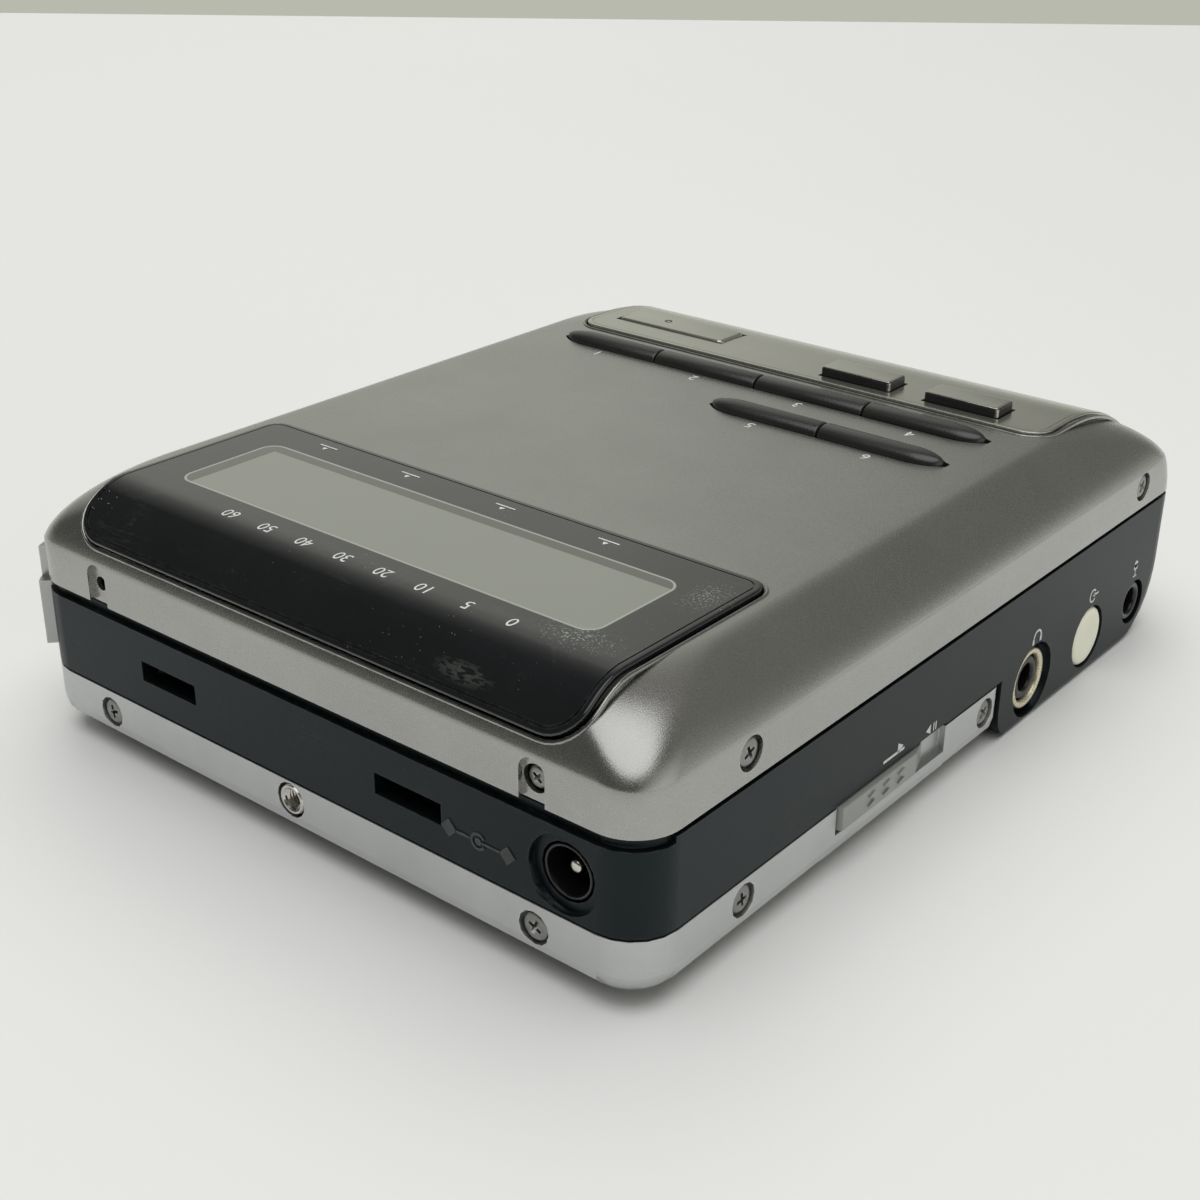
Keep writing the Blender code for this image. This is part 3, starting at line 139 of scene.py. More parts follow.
def newGroup(name, inputs, outputs):
    tree = bpy.data.node_groups.new(name, "ShaderNodeTree")
    for title, value in inputs:
        socket = tree.interface.new_socket(title, in_out="INPUT", socket_type="NodeSocketFloat")
        socket.default_value = value
    for title in outputs:
        tree.interface.new_socket(title, in_out="OUTPUT", socket_type="NodeSocketFloat")
    return tree, addNode(tree, "NodeGroupInput"), addNode(tree, "NodeGroupOutput")


def buildNoise(name, scale, detail, roughness):
    # noise whose contrast round one half can be set, and the plain noise as a height
    tree, given, result = newGroup(name, (("Scale", scale), ("Contrast", 1.0)), ("Tone", "Height"))
    noise = cloud(tree, given.outputs["Scale"], detail, roughness=roughness)
    spread = doMath(tree, "MULTIPLY", doMath(tree, "SUBTRACT", noise, 0.5), given.outputs["Contrast"])
    tree.links.new(doMath(tree, "ADD", spread, 0.5, True), result.inputs["Tone"])
    tree.links.new(noise, result.inputs["Height"])
    return tree


def buildEdgeWear():
    # 1 on worn edges, 0 on open surface
    tree, given, result = newGroup("edgeWear", (("Radius", 0.0004), ("Break", 700.0)), ("Mask",))
    bevel = addNode(tree, "ShaderNodeBevel", samples=4)
    tree.links.new(given.outputs["Radius"], bevel.inputs["Radius"])
    geometry = addNode(tree, "ShaderNodeNewGeometry")
    dot = addNode(tree, "ShaderNodeVectorMath", operation="DOT_PRODUCT")
    tree.links.new(bevel.outputs[0], dot.inputs[0])
    tree.links.new(geometry.outputs["Normal"], dot.inputs[1])
    edge = remap(tree, dot.outputs["Value"], 0.995, 0.93)
    broken = remap(tree, cloud(tree, given.outputs["Break"], 4.0), 0.42, 0.62)
    tree.links.new(doMath(tree, "MULTIPLY", edge, broken, True), result.inputs["Mask"])
    return tree


def buildDust():
    # specks that lie thicker in patches, and on what faces up
    tree, given, result = newGroup("restingDust", (("Scale", 1400.0), ("Cover", 0.3)), ("Mask",))
    cells = addNode(tree, "ShaderNodeTexVoronoi")
    tree.links.new(objectPlace(tree), cells.inputs["Vector"])
    tree.links.new(given.outputs["Scale"], cells.inputs["Scale"])
    room = remap(tree, cloud(tree, 90.0, 6.0), 0.45, 0.75, 0.02, 0.42)
    size = doMath(tree, "MULTIPLY", room, given.outputs["Cover"])
    speck = doMath(tree, "LESS_THAN", cells.outputs["Distance"], size)
    geometry = addNode(tree, "ShaderNodeNewGeometry")
    split = addNode(tree, "ShaderNodeSeparateXYZ")
    tree.links.new(geometry.outputs["Normal"], split.inputs[0])
    up = remap(tree, split.outputs[2], 0.1, 0.8, 0.15, 1.0)
    tree.links.new(doMath(tree, "MULTIPLY", speck, up, True), result.inputs["Mask"])
    return tree


def buildScratches():
    # short hairlines in two directions
    tree, given, result = newGroup("hairScratches", (("Scale", 400.0), ("Cover", 0.5)), ("Mask",))
    masks = []
    for stretch in ((1.0, 0.04, 1.0), (0.06, 1.0, 0.7)):
        noise = cloud(tree, given.outputs["Scale"], 3.0, stretch)
        near = doMath(tree, "ABSOLUTE", doMath(tree, "SUBTRACT", noise, 0.5))
        masks.append(remap(tree, near, 0.0, 0.012, 1.0, 0.0))
    room = remap(tree, cloud(tree, 120.0), 0.5, 0.7)
    both = doMath(tree, "MAXIMUM", masks[0], masks[1])
    shown = doMath(tree, "MULTIPLY", both, room)
    tree.links.new(doMath(tree, "MULTIPLY", shown, given.outputs["Cover"], True), result.inputs["Mask"])
    return tree


# the grain is the flake of a paint or the tooth of a moulding; the tone is slow, as hands polish a surface
groups = {
    "grain": buildNoise("paintGrain", 4000.0, 2.0, 0.5),
    "tone": buildNoise("handTone", 60.0, 5.0, 0.6),
    "wear": buildEdgeWear(),
    "dust": buildDust(),
    "scratch": buildScratches(),
}
print("shader groups built")


def useGroup(tree, key, **values):
    node = addNode(tree, "ShaderNodeGroup", node_tree=groups[key])
    for title, value in values.items():
        node.inputs[title].default_value = value
    return node


# What a finish has unless it says otherwise
plainFinish = {"metallic": 0.0, "grainContrast": 1.0, "specular": 0.5, "specularTint": (1, 1, 1, 1)}
# What each finish looks like. colour is its body, drift the colour it wanders to, worn the colour under it
finishes = {
    "coverPaint": {"colour": (0.375, 0.375, 0.360), "drift": (0.430, 0.428, 0.412),
                   "worn": (0.66, 0.65, 0.63), "wear": 0.35, "dust": 0.16, "scratch": 0.10,
                   "rough": (0.20, 0.30), "metallic": 0.92, "grainScale": 6500.0, "grainContrast": 2.2,
                   "bump": 0.06, "flake": 0.24},
    "knobGrey": {"colour": (0.300, 0.320, 0.300), "drift": (0.350, 0.370, 0.345),
                 "worn": (0.42, 0.43, 0.41), "wear": 0.45, "dust": 0.25, "scratch": 0.10,
                 "rough": (0.34, 0.48), "metallic": 0.35, "grainScale": 4500.0, "grainContrast": 1.2,
                 "bump": 0.08, "flake": 0.12},
    "frameBlack": {"colour": (0.0030, 0.0046, 0.0052), "drift": (0.0062, 0.0082, 0.0090),
                   "worn": (0.16, 0.16, 0.16), "wear": 0.15, "dust": 0.18, "scratch": 0.06,
                   "rough": (0.30, 0.42), "grainScale": 5000.0, "bump": 0.08, "flake": 0.05,
                   "specular": 0.26, "specularTint": (0.72, 0.92, 1.0, 1)},
    "beadSilver": {"colour": (0.30, 0.30, 0.29), "drift": (0.38, 0.38, 0.37), "worn": (0.80, 0.80, 0.78),
                   "wear": 0.40, "dust": 0.10, "scratch": 0.10, "rough": (0.14, 0.22), "metallic": 0.95,
                   "grainScale": 6000.0, "grainContrast": 1.2, "bump": 0.03, "flake": 0.10},
    "traySilver": {"colour": (0.50, 0.515, 0.515), "drift": (0.60, 0.61, 0.61), "worn": (0.75, 0.75, 0.74),
                   "wear": 0.35, "dust": 0.10, "scratch": 0.16, "rough": (0.28, 0.40), "metallic": 0.92,
                   "grainScale": 4200.0, "grainContrast": 1.4, "bump": 0.05, "flake": 0.15},
    "doorSilver": {"colour": (0.40, 0.41, 0.41), "drift": (0.48, 0.49, 0.48), "worn": (0.75, 0.75, 0.74),
                   "wear": 0.40, "dust": 0.08, "scratch": 0.20, "rough": (0.28, 0.42), "metallic": 0.92,
                   "grainScale": 4200.0, "grainContrast": 1.4, "bump": 0.05, "flake": 0.15},
    "keyBlack": {"colour": (0.012, 0.012, 0.012), "drift": (0.022, 0.022, 0.021),
                 "worn": (0.20, 0.20, 0.19), "wear": 0.15, "dust": 0.12, "scratch": 0.05,
                 "rough": (0.22, 0.34), "grainScale": 5000.0, "bump": 0.06, "flake": 0.05, "specular": 0.9},
    "panelMetal": {"colour": (0.50, 0.495, 0.450), "drift": (0.57, 0.56, 0.510), "worn": (0.62, 0.60, 0.56),
                   "wear": 0.60, "dust": 0.22, "scratch": 0.15, "rough": (0.16, 0.28), "metallic": 0.90,
                   "grainScale": 3800.0, "grainContrast": 1.6, "bump": 0.04, "flake": 0.20},
    "screwSteel": {"colour": (0.20, 0.20, 0.195), "drift": (0.34, 0.34, 0.325), "worn": (0.72, 0.71, 0.70),
                   "wear": 0.60, "dust": 0.20, "scratch": 0.25, "rough": (0.24, 0.42), "metallic": 1.0,
                   "grainScale": 2600.0, "grainContrast": 1.8, "bump": 0.10, "flake": 0.15},
    "brightSteel": {"colour": (0.62, 0.60, 0.55), "drift": (0.70, 0.68, 0.63), "worn": (0.85, 0.84, 0.82),
                    "wear": 0.30, "dust": 0.05, "scratch": 0.25, "rough": (0.14, 0.26), "metallic": 1.0,
                    "grainScale": 3000.0, "grainContrast": 1.2, "bump": 0.05, "flake": 0.10},
    "rawSheet": {"colour": (0.52, 0.52, 0.50), "drift": (0.60, 0.60, 0.57), "worn": (0.80, 0.80, 0.78),
                 "wear": 0.30, "dust": 0.05, "scratch": 0.35, "rough": (0.24, 0.40), "metallic": 1.0,
                 "grainScale": 1800.0, "grainContrast": 1.4, "bump": 0.06, "flake": 0.12},
    "ringCream": {"colour": (0.74, 0.68, 0.50), "drift": (0.80, 0.75, 0.57), "worn": (0.85, 0.80, 0.65),
                  "wear": 0.25, "dust": 0.02, "scratch": 0.05, "rough": (0.22, 0.34), "metallic": 0.65,
                  "grainScale": 3000.0, "bump": 0.04, "flake": 0.10},
    "plugCream": {"colour": (0.88, 0.87, 0.72), "drift": (0.92, 0.91, 0.78), "worn": (0.92, 0.91, 0.84),
                  "wear": 0.20, "dust": 0.05, "scratch": 0.10, "rough": (0.36, 0.50), "grainScale": 2500.0,
                  "bump": 0.08, "flake": 0.04},
    "socketBlack": {"colour": (0.006, 0.006, 0.006), "drift": (0.012, 0.012, 0.012),
                    "worn": (0.12, 0.12, 0.12), "wear": 0.10, "dust": 0.10, "scratch": 0.04,
                    "rough": (0.16, 0.26), "grainScale": 3500.0, "bump": 0.03, "flake": 0.04},
    "rubberFoot": {"colour": (0.018, 0.018, 0.018), "drift": (0.035, 0.034, 0.032),
                   "worn": (0.10, 0.10, 0.10), "wear": 0.30, "dust": 0.60, "scratch": 0.10,
                   "rough": (0.70, 0.90), "grainScale": 2200.0, "grainContrast": 1.6, "bump": 0.20,
                   "flake": 0.10},
    "batteryWrap": {"colour": (0.020, 0.024, 0.032), "drift": (0.035, 0.040, 0.050),
                    "worn": (0.25, 0.26, 0.28), "wear": 0.15, "dust": 0.10, "scratch": 0.15,
                    "rough": (0.30, 0.44), "grainScale": 1600.0, "bump": 0.05, "flake": 0.06},
    "boardGreen": {"colour": (0.010, 0.075, 0.035), "drift": (0.016, 0.100, 0.050),
                   "worn": (0.45, 0.34, 0.14), "wear": 0.30, "dust": 0.08, "scratch": 0.45,
                   "rough": (0.28, 0.40), "grainScale": 900.0, "grainContrast": 1.6, "bump": 0.06,
                   "flake": 0.15},
    "motorCan": {"colour": (0.48, 0.48, 0.46), "drift": (0.56, 0.56, 0.54), "worn": (0.80, 0.80, 0.78),
                 "wear": 0.30, "dust": 0.05, "scratch": 0.25, "rough": (0.22, 0.36), "metallic": 1.0,
                 "grainScale": 2000.0, "grainContrast": 1.2, "bump": 0.05, "flake": 0.12},
    "gearBlack": {"colour": (0.020, 0.020, 0.022), "drift": (0.034, 0.034, 0.036),
                  "worn": (0.18, 0.18, 0.18), "wear": 0.20, "dust": 0.10, "scratch": 0.10,
                  "rough": (0.34, 0.48), "grainScale": 2400.0, "grainContrast": 1.2, "bump": 0.08,
                  "flake": 0.06},
    "goldContact": {"colour": (0.78, 0.58, 0.28), "drift": (0.84, 0.66, 0.36), "worn": (0.90, 0.82, 0.60),
                    "wear": 0.25, "dust": 0.04, "scratch": 0.25, "rough": (0.16, 0.28), "metallic": 1.0,
                    "grainScale": 2600.0, "bump": 0.04, "flake": 0.08},
    "objectiveBlue": {"colour": (0.060, 0.045, 0.120), "drift": (0.085, 0.060, 0.180),
                      "worn": (0.40, 0.38, 0.50), "wear": 0.10, "dust": 0.02, "scratch": 0.05,
                      "rough": (0.03, 0.08), "metallic": 0.2, "grainScale": 2000.0, "bump": 0.01,
                      "flake": 0.05},
    "frameRelief": {"colour": (0.020, 0.023, 0.025), "drift": (0.034, 0.037, 0.040),
                    "worn": (0.20, 0.20, 0.20), "wear": 0.30, "dust": 0.10, "scratch": 0.05,
                    "rough": (0.28, 0.40), "grainScale": 4000.0, "bump": 0.05, "flake": 0.05},
    "printDark": {"colour": (0.020, 0.020, 0.018), "drift": (0.040, 0.040, 0.036),
                  "worn": (0.20, 0.20, 0.18), "wear": 0.10, "dust": 0.10, "scratch": 0.10,
                  "rough": (0.40, 0.55), "grainScale": 4000.0, "bump": 0.03, "flake": 0.08},
    "printWhite": {"colour": (0.60, 0.62, 0.60), "drift": (0.72, 0.74, 0.72), "worn": (0.30, 0.30, 0.30),
                   "wear": 0.10, "dust": 0.10, "scratch": 0.20, "rough": (0.45, 0.60), "grainScale": 4000.0,
                   "grainContrast": 1.2, "bump": 0.03, "flake": 0.10},
}
# Dust hides this share of a finish and dulls it; the grain stands this high, in metres
dustLook = {"colour": (0.50, 0.49, 0.44, 1.0), "share": 0.8, "dulls": 0.3}
grainHeight = 0.0002
materials = {}


def finishBase(name, look):
    # colour, roughness and bump that every opaque finish here has
    look = {**plainFinish, **look}
    material = bpy.data.materials.new(name)
    material.use_nodes = True
    tree = material.node_tree
    shader = tree.nodes["Principled BSDF"]
    grain = useGroup(tree, "grain", Scale=look["grainScale"], Contrast=look["grainContrast"])
    tone = useGroup(tree, "tone", Scale=70.0, Contrast=1.8)
    wear = useGroup(tree, "wear", Radius=0.00035, Break=900.0)
    dust = useGroup(tree, "dust", Scale=1700.0, Cover=look["dust"])
    scratch = useGroup(tree, "scratch", Scale=420.0, Cover=look["scratch"])
    flake = doMath(tree, "MULTIPLY", doMath(tree, "SUBTRACT", grain.outputs["Tone"], 0.5), look["flake"] * 2)
    share = doMath(tree, "ADD", tone.outputs["Tone"], flake, True)
    colour = mixColour(tree, share, (*look["colour"], 1), (*look["drift"], 1))
    bare = doMath(tree, "MULTIPLY", wear.outputs["Mask"], look["wear"], True)
    bare = doMath(tree, "MAXIMUM", bare, scratch.outputs["Mask"])
    colour = mixColour(tree, bare, colour, (*look["worn"], 1))
    colour = mixColour(tree, doMath(tree, "MULTIPLY", dust.outputs["Mask"], dustLook["share"]),
                       colour, dustLook["colour"])
    roughness = remap(tree, grain.outputs["Tone"], 0.0, 1.0, *look["rough"])
    dulling = doMath(tree, "MULTIPLY", dust.outputs["Mask"], dustLook["dulls"])
    roughness = doMath(tree, "ADD", roughness, dulling, True)
    bump = addNode(tree, "ShaderNodeBump")
    bump.inputs["Strength"].default_value = look["bump"]
    bump.inputs["Distance"].default_value = grainHeight
    tree.links.new(grain.outputs["Height"], bump.inputs["Height"])
    tree.links.new(colour, shader.inputs["Base Color"])
    tree.links.new(roughness, shader.inputs["Roughness"])
    tree.links.new(bump.outputs[0], shader.inputs["Normal"])
    shader.inputs["Metallic"].default_value = look["metallic"]
    shader.inputs["Specular IOR Level"].default_value = look["specular"]
    shader.inputs["Specular Tint"].default_value = look["specularTint"]
    return material, tree, shader, colour


for title, look in finishes.items():
    materials[title] = finishBase(title, look)[0]
print("finishes mixed:", len(materials))


# helpers for pieces

def settle(bm, name, finish, body="case", stands=(), smoothAngle=32, recalc=True):
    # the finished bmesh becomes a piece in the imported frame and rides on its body
    bmesh.ops.remove_doubles(bm, verts=bm.verts, dist=1e-7)
    if recalc:
        bmesh.ops.recalc_face_normals(bm, faces=bm.faces)
    bmesh.ops.transform(bm, matrix=Matrix.Translation((0, shiftY, 0)), verts=bm.verts)
    mesh = bpy.data.meshes.new(name)
    bm.to_mesh(mesh)
    bm.free()
    mesh.shade_smooth()
    mesh.set_sharp_from_angle(angle=radians(smoothAngle))
    piece = bpy.data.objects.new(name, mesh)
    bpy.context.scene.collection.objects.link(piece)
    if body:
        mesh.materials.append(materials[finish])
        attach(piece, body)
        if stands:
            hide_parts(*stands)
    return piece


def carve(piece, *cutters):
    # take the cutters out of the piece for good
    for cutter in cutters:
        step = piece.modifiers.new("carve", "BOOLEAN")
        step.operation = "DIFFERENCE"
        step.solver = "EXACT"
        step.object = cutter
    bpy.context.view_layer.update()
    solved = bpy.data.meshes.new_from_object(piece.evaluated_get(bpy.context.evaluated_depsgraph_get()))
    piece.modifiers.clear()
    old = piece.data
    piece.data = solved
    solved.name = old.name
    bpy.data.meshes.remove(old)
    for cutter in cutters:
        bpy.data.objects.remove(cutter)
    solved.shade_smooth()
    solved.set_sharp_from_angle(angle=radians(32))


def thicken(bm, way):
    # extrude every face and move the fresh ones along way
    grown = bmesh.ops.extrude_face_region(bm, geom=list(bm.faces))
    moved = [item for item in grown["geom"] if isinstance(item, bmesh.types.BMVert)]
    bmesh.ops.translate(bm, verts=moved, vec=way)


def roundEdges(bm, edges, width, segments):
    bmesh.ops.bevel(bm, geom=edges, offset=width, segments=segments, profile=0.5, affect="EDGES",
                    clamp_overlap=True, material=-1)


def skinRings(bm, rings, capFirst=True, capLast=True):
    # extrude the first ring's edges from outline to outline, and close the two ends
    ring = bmesh.ops.create_circle(bm, segments=len(rings[0]), radius=1)["verts"]
    for vert, point in zip(ring, rings[0]):
        vert.co = point
    edges = list({edge for vert in ring for edge in vert.link_edges})
    if capFirst:
        bmesh.ops.contextual_create(bm, geom=edges)
    for points in rings[1:]:
        order = {vert: number for number, vert in enumerate(ring)}
        grown = bmesh.ops.extrude_edge_only(bm, edges=edges)
        fresh = [item for item in grown["geom"] if isinstance(item, bmesh.types.BMVert)]
        ring = [None] * len(points)
        for vert in fresh:
            for edge in vert.link_edges:
                if edge.other_vert(vert) in order:
                    ring[order[edge.other_vert(vert)]] = vert
        for vert, point in zip(ring, points):
            vert.co = point
        added = set(ring)
        edges = [edge for edge in {edge for vert in ring for edge in vert.link_edges}
                 if edge.verts[0] in added and edge.verts[1] in added]
    if capLast:
        bmesh.ops.contextual_create(bm, geom=edges)


def block(low, high):
    # a plain box used to cut with
    bm = bmesh.new()
    span = Vector(high) - Vector(low)
    place = Matrix.Translation((Vector(low) + Vector(high)) / 2) @ Matrix.Diagonal((*span, 1))
    bmesh.ops.create_cube(bm, size=1, matrix=place)
    return settle(bm, "blockCutter", None, None)


def roundedRect(z, half, front, rear, radius, steps=12):
    corners = ((half - radius, rear - radius), (radius - half, rear - radius),
               (radius - half, front + radius), (half - radius, front + radius))
    points = []
    for quarter, (x, y) in enumerate(corners):
        for step in range(steps + 1):
            angle = pi / 2 * (quarter + step / steps)
            points.append(Vector((x + radius * cos(angle), y + radius * sin(angle), z)))
    return points


def frontLine(z, inset=0.0):
    # where the case's front skin is at a height
    share = max(z - caseShape["noseStart"], 0) / (caseTop - caseShape["noseStart"] - inset)
    reach = caseShape["noseReach"]
    return -halfDepth + reach - (reach - inset) * sqrt(max(1 - share ** 2, 0))


def turnedShape(bm, profile, steps, closed=False):
    # spin (radius, height) points round Z, then merge the seam and the poles
    verts = [bm.verts.new((radius, 0, height)) for radius, height in profile]
    edges = [bm.edges.new(pair) for pair in zip(verts, verts[1:])]
    if closed:
        edges.append(bm.edges.new((verts[-1], verts[0])))
    bmesh.ops.spin(bm, geom=verts + edges, cent=(0, 0, 0), axis=(0, 0, 1), angle=2 * pi, steps=steps,
                   use_merge=True)
    bmesh.ops.remove_doubles(bm, verts=bm.verts, dist=1e-7)


def stand(bm, point, way, turn=0.0):
    # turn +Z to look along way and move the base to point
    aim = Vector((0, 0, 1)).rotation_difference(Vector(way)).to_matrix().to_4x4()
    matrix = Matrix.Translation(point) @ aim @ Matrix.Rotation(turn, 4, "Z")
    bmesh.ops.transform(bm, matrix=matrix, verts=bm.verts)


# skin profiles that the window and the key plate follow

def rearProfile(turn):
    if turn < 0:
        return halfDepth - caseShape["shoulderRear"] + turn, caseTop, 0.0, 1.0
    rise = caseTop - caseShape["bandTop"]
    reach = caseShape["shoulderRear"]
    outward, upward, sideways, over = shoulderAt(turn / (pi / 2))
    normal = Vector((sideways / reach, over / rise)).normalized()
    return halfDepth - reach + reach * outward, caseShape["bandTop"] + rise * upward, normal.x, normal.y


def noseProfile(turn):
    flatEnd = caseShape["noseReach"] - halfDepth
    if turn < 0:
        return flatEnd - turn, caseTop, 0.0, 1.0
    rise = caseTop - caseShape["noseStart"]
    reach = caseShape["noseReach"]
    normal = Vector((-sin(turn) / reach, cos(turn) / rise)).normalized()
    return flatEnd - reach * sin(turn), caseShape["noseStart"] + rise * cos(turn), normal.x, normal.y


def profileLine(profile, flatEnd, shape, count=200):
    # (y, z, normal y, normal z, length) from the shape's start on the flat top round the shoulder to its end
    last = pi / 2
    while profile(last)[1] < shape["lowZ"]:
        last -= radians(0.25)
    flat = abs(shape["start"] - flatEnd)
    turns = [-flat + flat * step / 8 for step in range(8)]
    turns += [last * step / count for step in range(count + 1)]
    line = []
    for turn in turns:
        point = profile(turn)
        length = line[-1][4] + hypot(point[0] - line[-1][0], point[1] - line[-1][1]) if line else 0.0
        line.append((*point, length))
    return line


def onLine(line, length):
    after = 1
    while after < len(line) - 1 and line[after][4] < length:
        after += 1
    first, second = line[after - 1], line[after]
    share = (length - first[4]) / (second[4] - first[4])
    return [a + (b - a) * share for a, b in zip(first[:4], second[:4])]


windowShape = {"start": 0.0284, "lowZ": 0.0279, "centre": 0.0, "halfWidth": 0.0391, "radii": (0.0025, 0.0045),
               "lift": 0.0006, "depth": 0.0011, "rim": 0.0003, "grooveAt": 0.00075, "grooveWide": 0.0002,
               "grooveDeep": 0.00014}
plateShape = {"start": -0.0323, "lowZ": 0.0228, "centre": -0.0008, "halfWidth": 0.0392,
              "radii": (0.0035, 0.0050), "lift": 0.0004, "depth": 0.0012, "rim": 0.0002, "grooveAt": 0.0007,
              "grooveWide": 0.00012, "grooveDeep": 0.00008}
windowLine = profileLine(rearProfile, halfDepth - caseShape["shoulderRear"], windowShape)
plateLine = profileLine(noseProfile, caseShape["noseReach"] - halfDepth, plateShape)


def bentOutline(line, shape, inset, height, cornerSteps=8, sideSteps=22, longSteps=10):
    # a rounded rectangle drawn in by inset, laid over the bent line and lifted by height
    middle = line[-1][4] / 2
    across, along = shape["halfWidth"] - inset, middle - inset
    bends = [max(min(radius - inset, along), 0.00002) for radius in shape["radii"]]
    corners = ((1, 1, bends[1]), (-1, 1, bends[1]), (-1, -1, bends[0]), (1, -1, bends[0]))
    flat = []
    for quarter, (sideX, sideS, bend) in enumerate(corners):
        for step in range(cornerSteps + 1):
            angle = pi / 2 * (quarter + step / cornerSteps)
            flat.append((sideX * (across - bend) + bend * cos(angle),
                         sideS * (along - bend) + bend * sin(angle)))
        nextX, nextS, nextBend = corners[(quarter + 1) % 4]
        angle = pi / 2 * (quarter + 1)
        goal = (nextX * (across - nextBend) + nextBend * cos(angle),
                nextS * (along - nextBend) + nextBend * sin(angle))
        steps = longSteps if quarter % 2 == 0 else sideSteps
        begin = flat[-1]
        flat += [tuple(a + (b - a) * step / steps for a, b in zip(begin, goal)) for step in range(1, steps)]
    points = []
    for x, s in flat:
        y, z, ny, nz = onLine(line, middle + s)
        points.append(Vector((shape["centre"] + x, y + ny * height, z + nz * height)))
    return points


def bentPlate(line, shape, grow=0.0, lift=None, depth=None):
    # outlines from the middle of the underside out, up the edge and back in over the top
    total = line[-1][4]
    cutter = lift is not None
    lift = shape["lift"] if lift is None else lift
    depth = shape["depth"] if depth is None else depth
    last = total / 2 - 0.0001
    under = 8
    levels = [(last - (last + grow) * step / under, -depth) for step in range(under + 1)]
    if cutter:
        levels.append((-grow, lift))
    else:
        rim = shape["rim"]
        for step in range(6):
            angle = pi / 2 * step / 5
            levels.append((rim * (1 - cos(angle)), lift - rim * (1 - sin(angle))))
        start, wide, deep = shape["grooveAt"], shape["grooveWide"], shape["grooveDeep"]
        levels += [(start, lift), (start + wide * 0.15, lift - deep), (start + wide * 0.85, lift - deep),
                   (start + wide, lift), (start + wide * 1.6, lift)]
    begin, count = levels[-1][0], 10 if cutter else 20
    levels += [(begin + (last - begin) * step / count, lift) for step in range(1, count + 1)]
    bm = bmesh.new()
    skinRings(bm, [bentOutline(line, shape, inset, height) for inset, height in levels])
    return bm


# top cover

coverDetail = {"shoulderSteps": 22, "cornerSteps": 14, "bandSteps": 3, "plateRoom": 0.0023,
               "notchHalf": 0.0017, "notchTop": 0.0257, "notchX": 0.03445, "notchDepth": 0.0007,
               "notchScrewZ": 0.0231, "notchHole": 0.0009, "screwRoom": 0.0003, "shankHole": 0.0011,
               "screwWell": 0.0022, "doorTop": 0.0236, "doorFront": -0.0387, "doorBottom": 0.0196,
               "doorStandOut": 0.0014, "doorWrap": 39, "doorGap": 0.0006}
# lastRoom: the well of a row is longer at its last tip by this many gaps
rowShape = {"centre": 0.0003, "halfLength": 0.0352, "editY": -0.0267, "displayY": -0.0158,
            "displayEnd": 0.0006, "halfDepth": 0.0020, "rise": 0.0013, "shoulder": 0.0003, "tip": 0.0045,
            "bottom": 0.0300, "wellFloor": 0.0295, "lastRoom": 2.2, "spacing": 0.0003}


def coverRings(inset):
    rise = caseTop - caseShape["bandTop"] - inset
    band = caseShape["bandTop"] - caseShape["coverBottom"]
    radius = caseShape["cornerRadius"]
    rings = []
    for step in range(coverDetail["bandSteps"] + 1):
        z = caseShape["coverBottom"] + band * step / coverDetail["bandSteps"]
        rings.append(roundedRect(z, halfWidth - inset, frontLine(z, inset), halfDepth - inset, radius - inset,
                                 steps=coverDetail["cornerSteps"]))
    for step in range(1, coverDetail["shoulderSteps"] + 1):
        angle = pi / 2 * step / coverDetail["shoulderSteps"]
        outward, upward = shoulderAt(1 - step / coverDetail["shoulderSteps"])[:2]
        z = caseShape["bandTop"] + rise * upward
        side = halfWidth - caseShape["shoulderSide"] + (caseShape["shoulderSide"] - inset) * outward
        rear = halfDepth - caseShape["shoulderRear"] + (caseShape["shoulderRear"] - inset) * outward
        bend = radius - inset + (caseShape["topCornerRadius"] - radius) * sin(angle) ** 2
        rings.append(roundedRect(z, side, frontLine(z, inset), rear, bend, steps=coverDetail["cornerSteps"]))
    return rings


def rowShare(x, start, end):
    nearTip = min(start - x, x - end)
    if nearTip >= rowShape["tip"]:
        return 1.0
    return sqrt(max(1 - (1 - nearTip / rowShape["tip"]) ** 2, 0.02))


def rowEnds():
    start = rowShape["centre"] + rowShape["halfLength"]
    end = rowShape["centre"] - rowShape["halfLength"]
    return {"edit": (rowShape["editY"], start, end, 4),
            "display": (rowShape["displayY"], rowShape["displayEnd"], end, 2)}


def rowStops(start, end, low, high, steps=9):
    shares = [1 - cos(pi / 2 * step / steps) for step in range(steps + 1)]
    marks = [start - rowShape["tip"] * share for share in shares]
    marks += [end + rowShape["tip"] * share for share in reversed(shares)]
    return [high] + [mark for mark in marks if low + 1e-5 < mark < high - 1e-5] + [low]


def rowCutter(rowY, start, end):
    bm = bmesh.new()
    rings = []
    for x in rowStops(start, end, end, start):
        half = rowShape["halfDepth"] * rowShare(x, start, end) + caseShape["gap"]
        along = x + caseShape["gap"] * ((x > start - 1e-4) - rowShape["lastRoom"] * (x < end + 1e-4))
        low, high = rowShape["wellFloor"], caseTop + clear
        rings.append([(along, rowY - half, low), (along, rowY + half, low), (along, rowY + half, high),
                      (along, rowY - half, high)])
    skinRings(bm, rings)
    return settle(bm, "rowCutter", None, None)


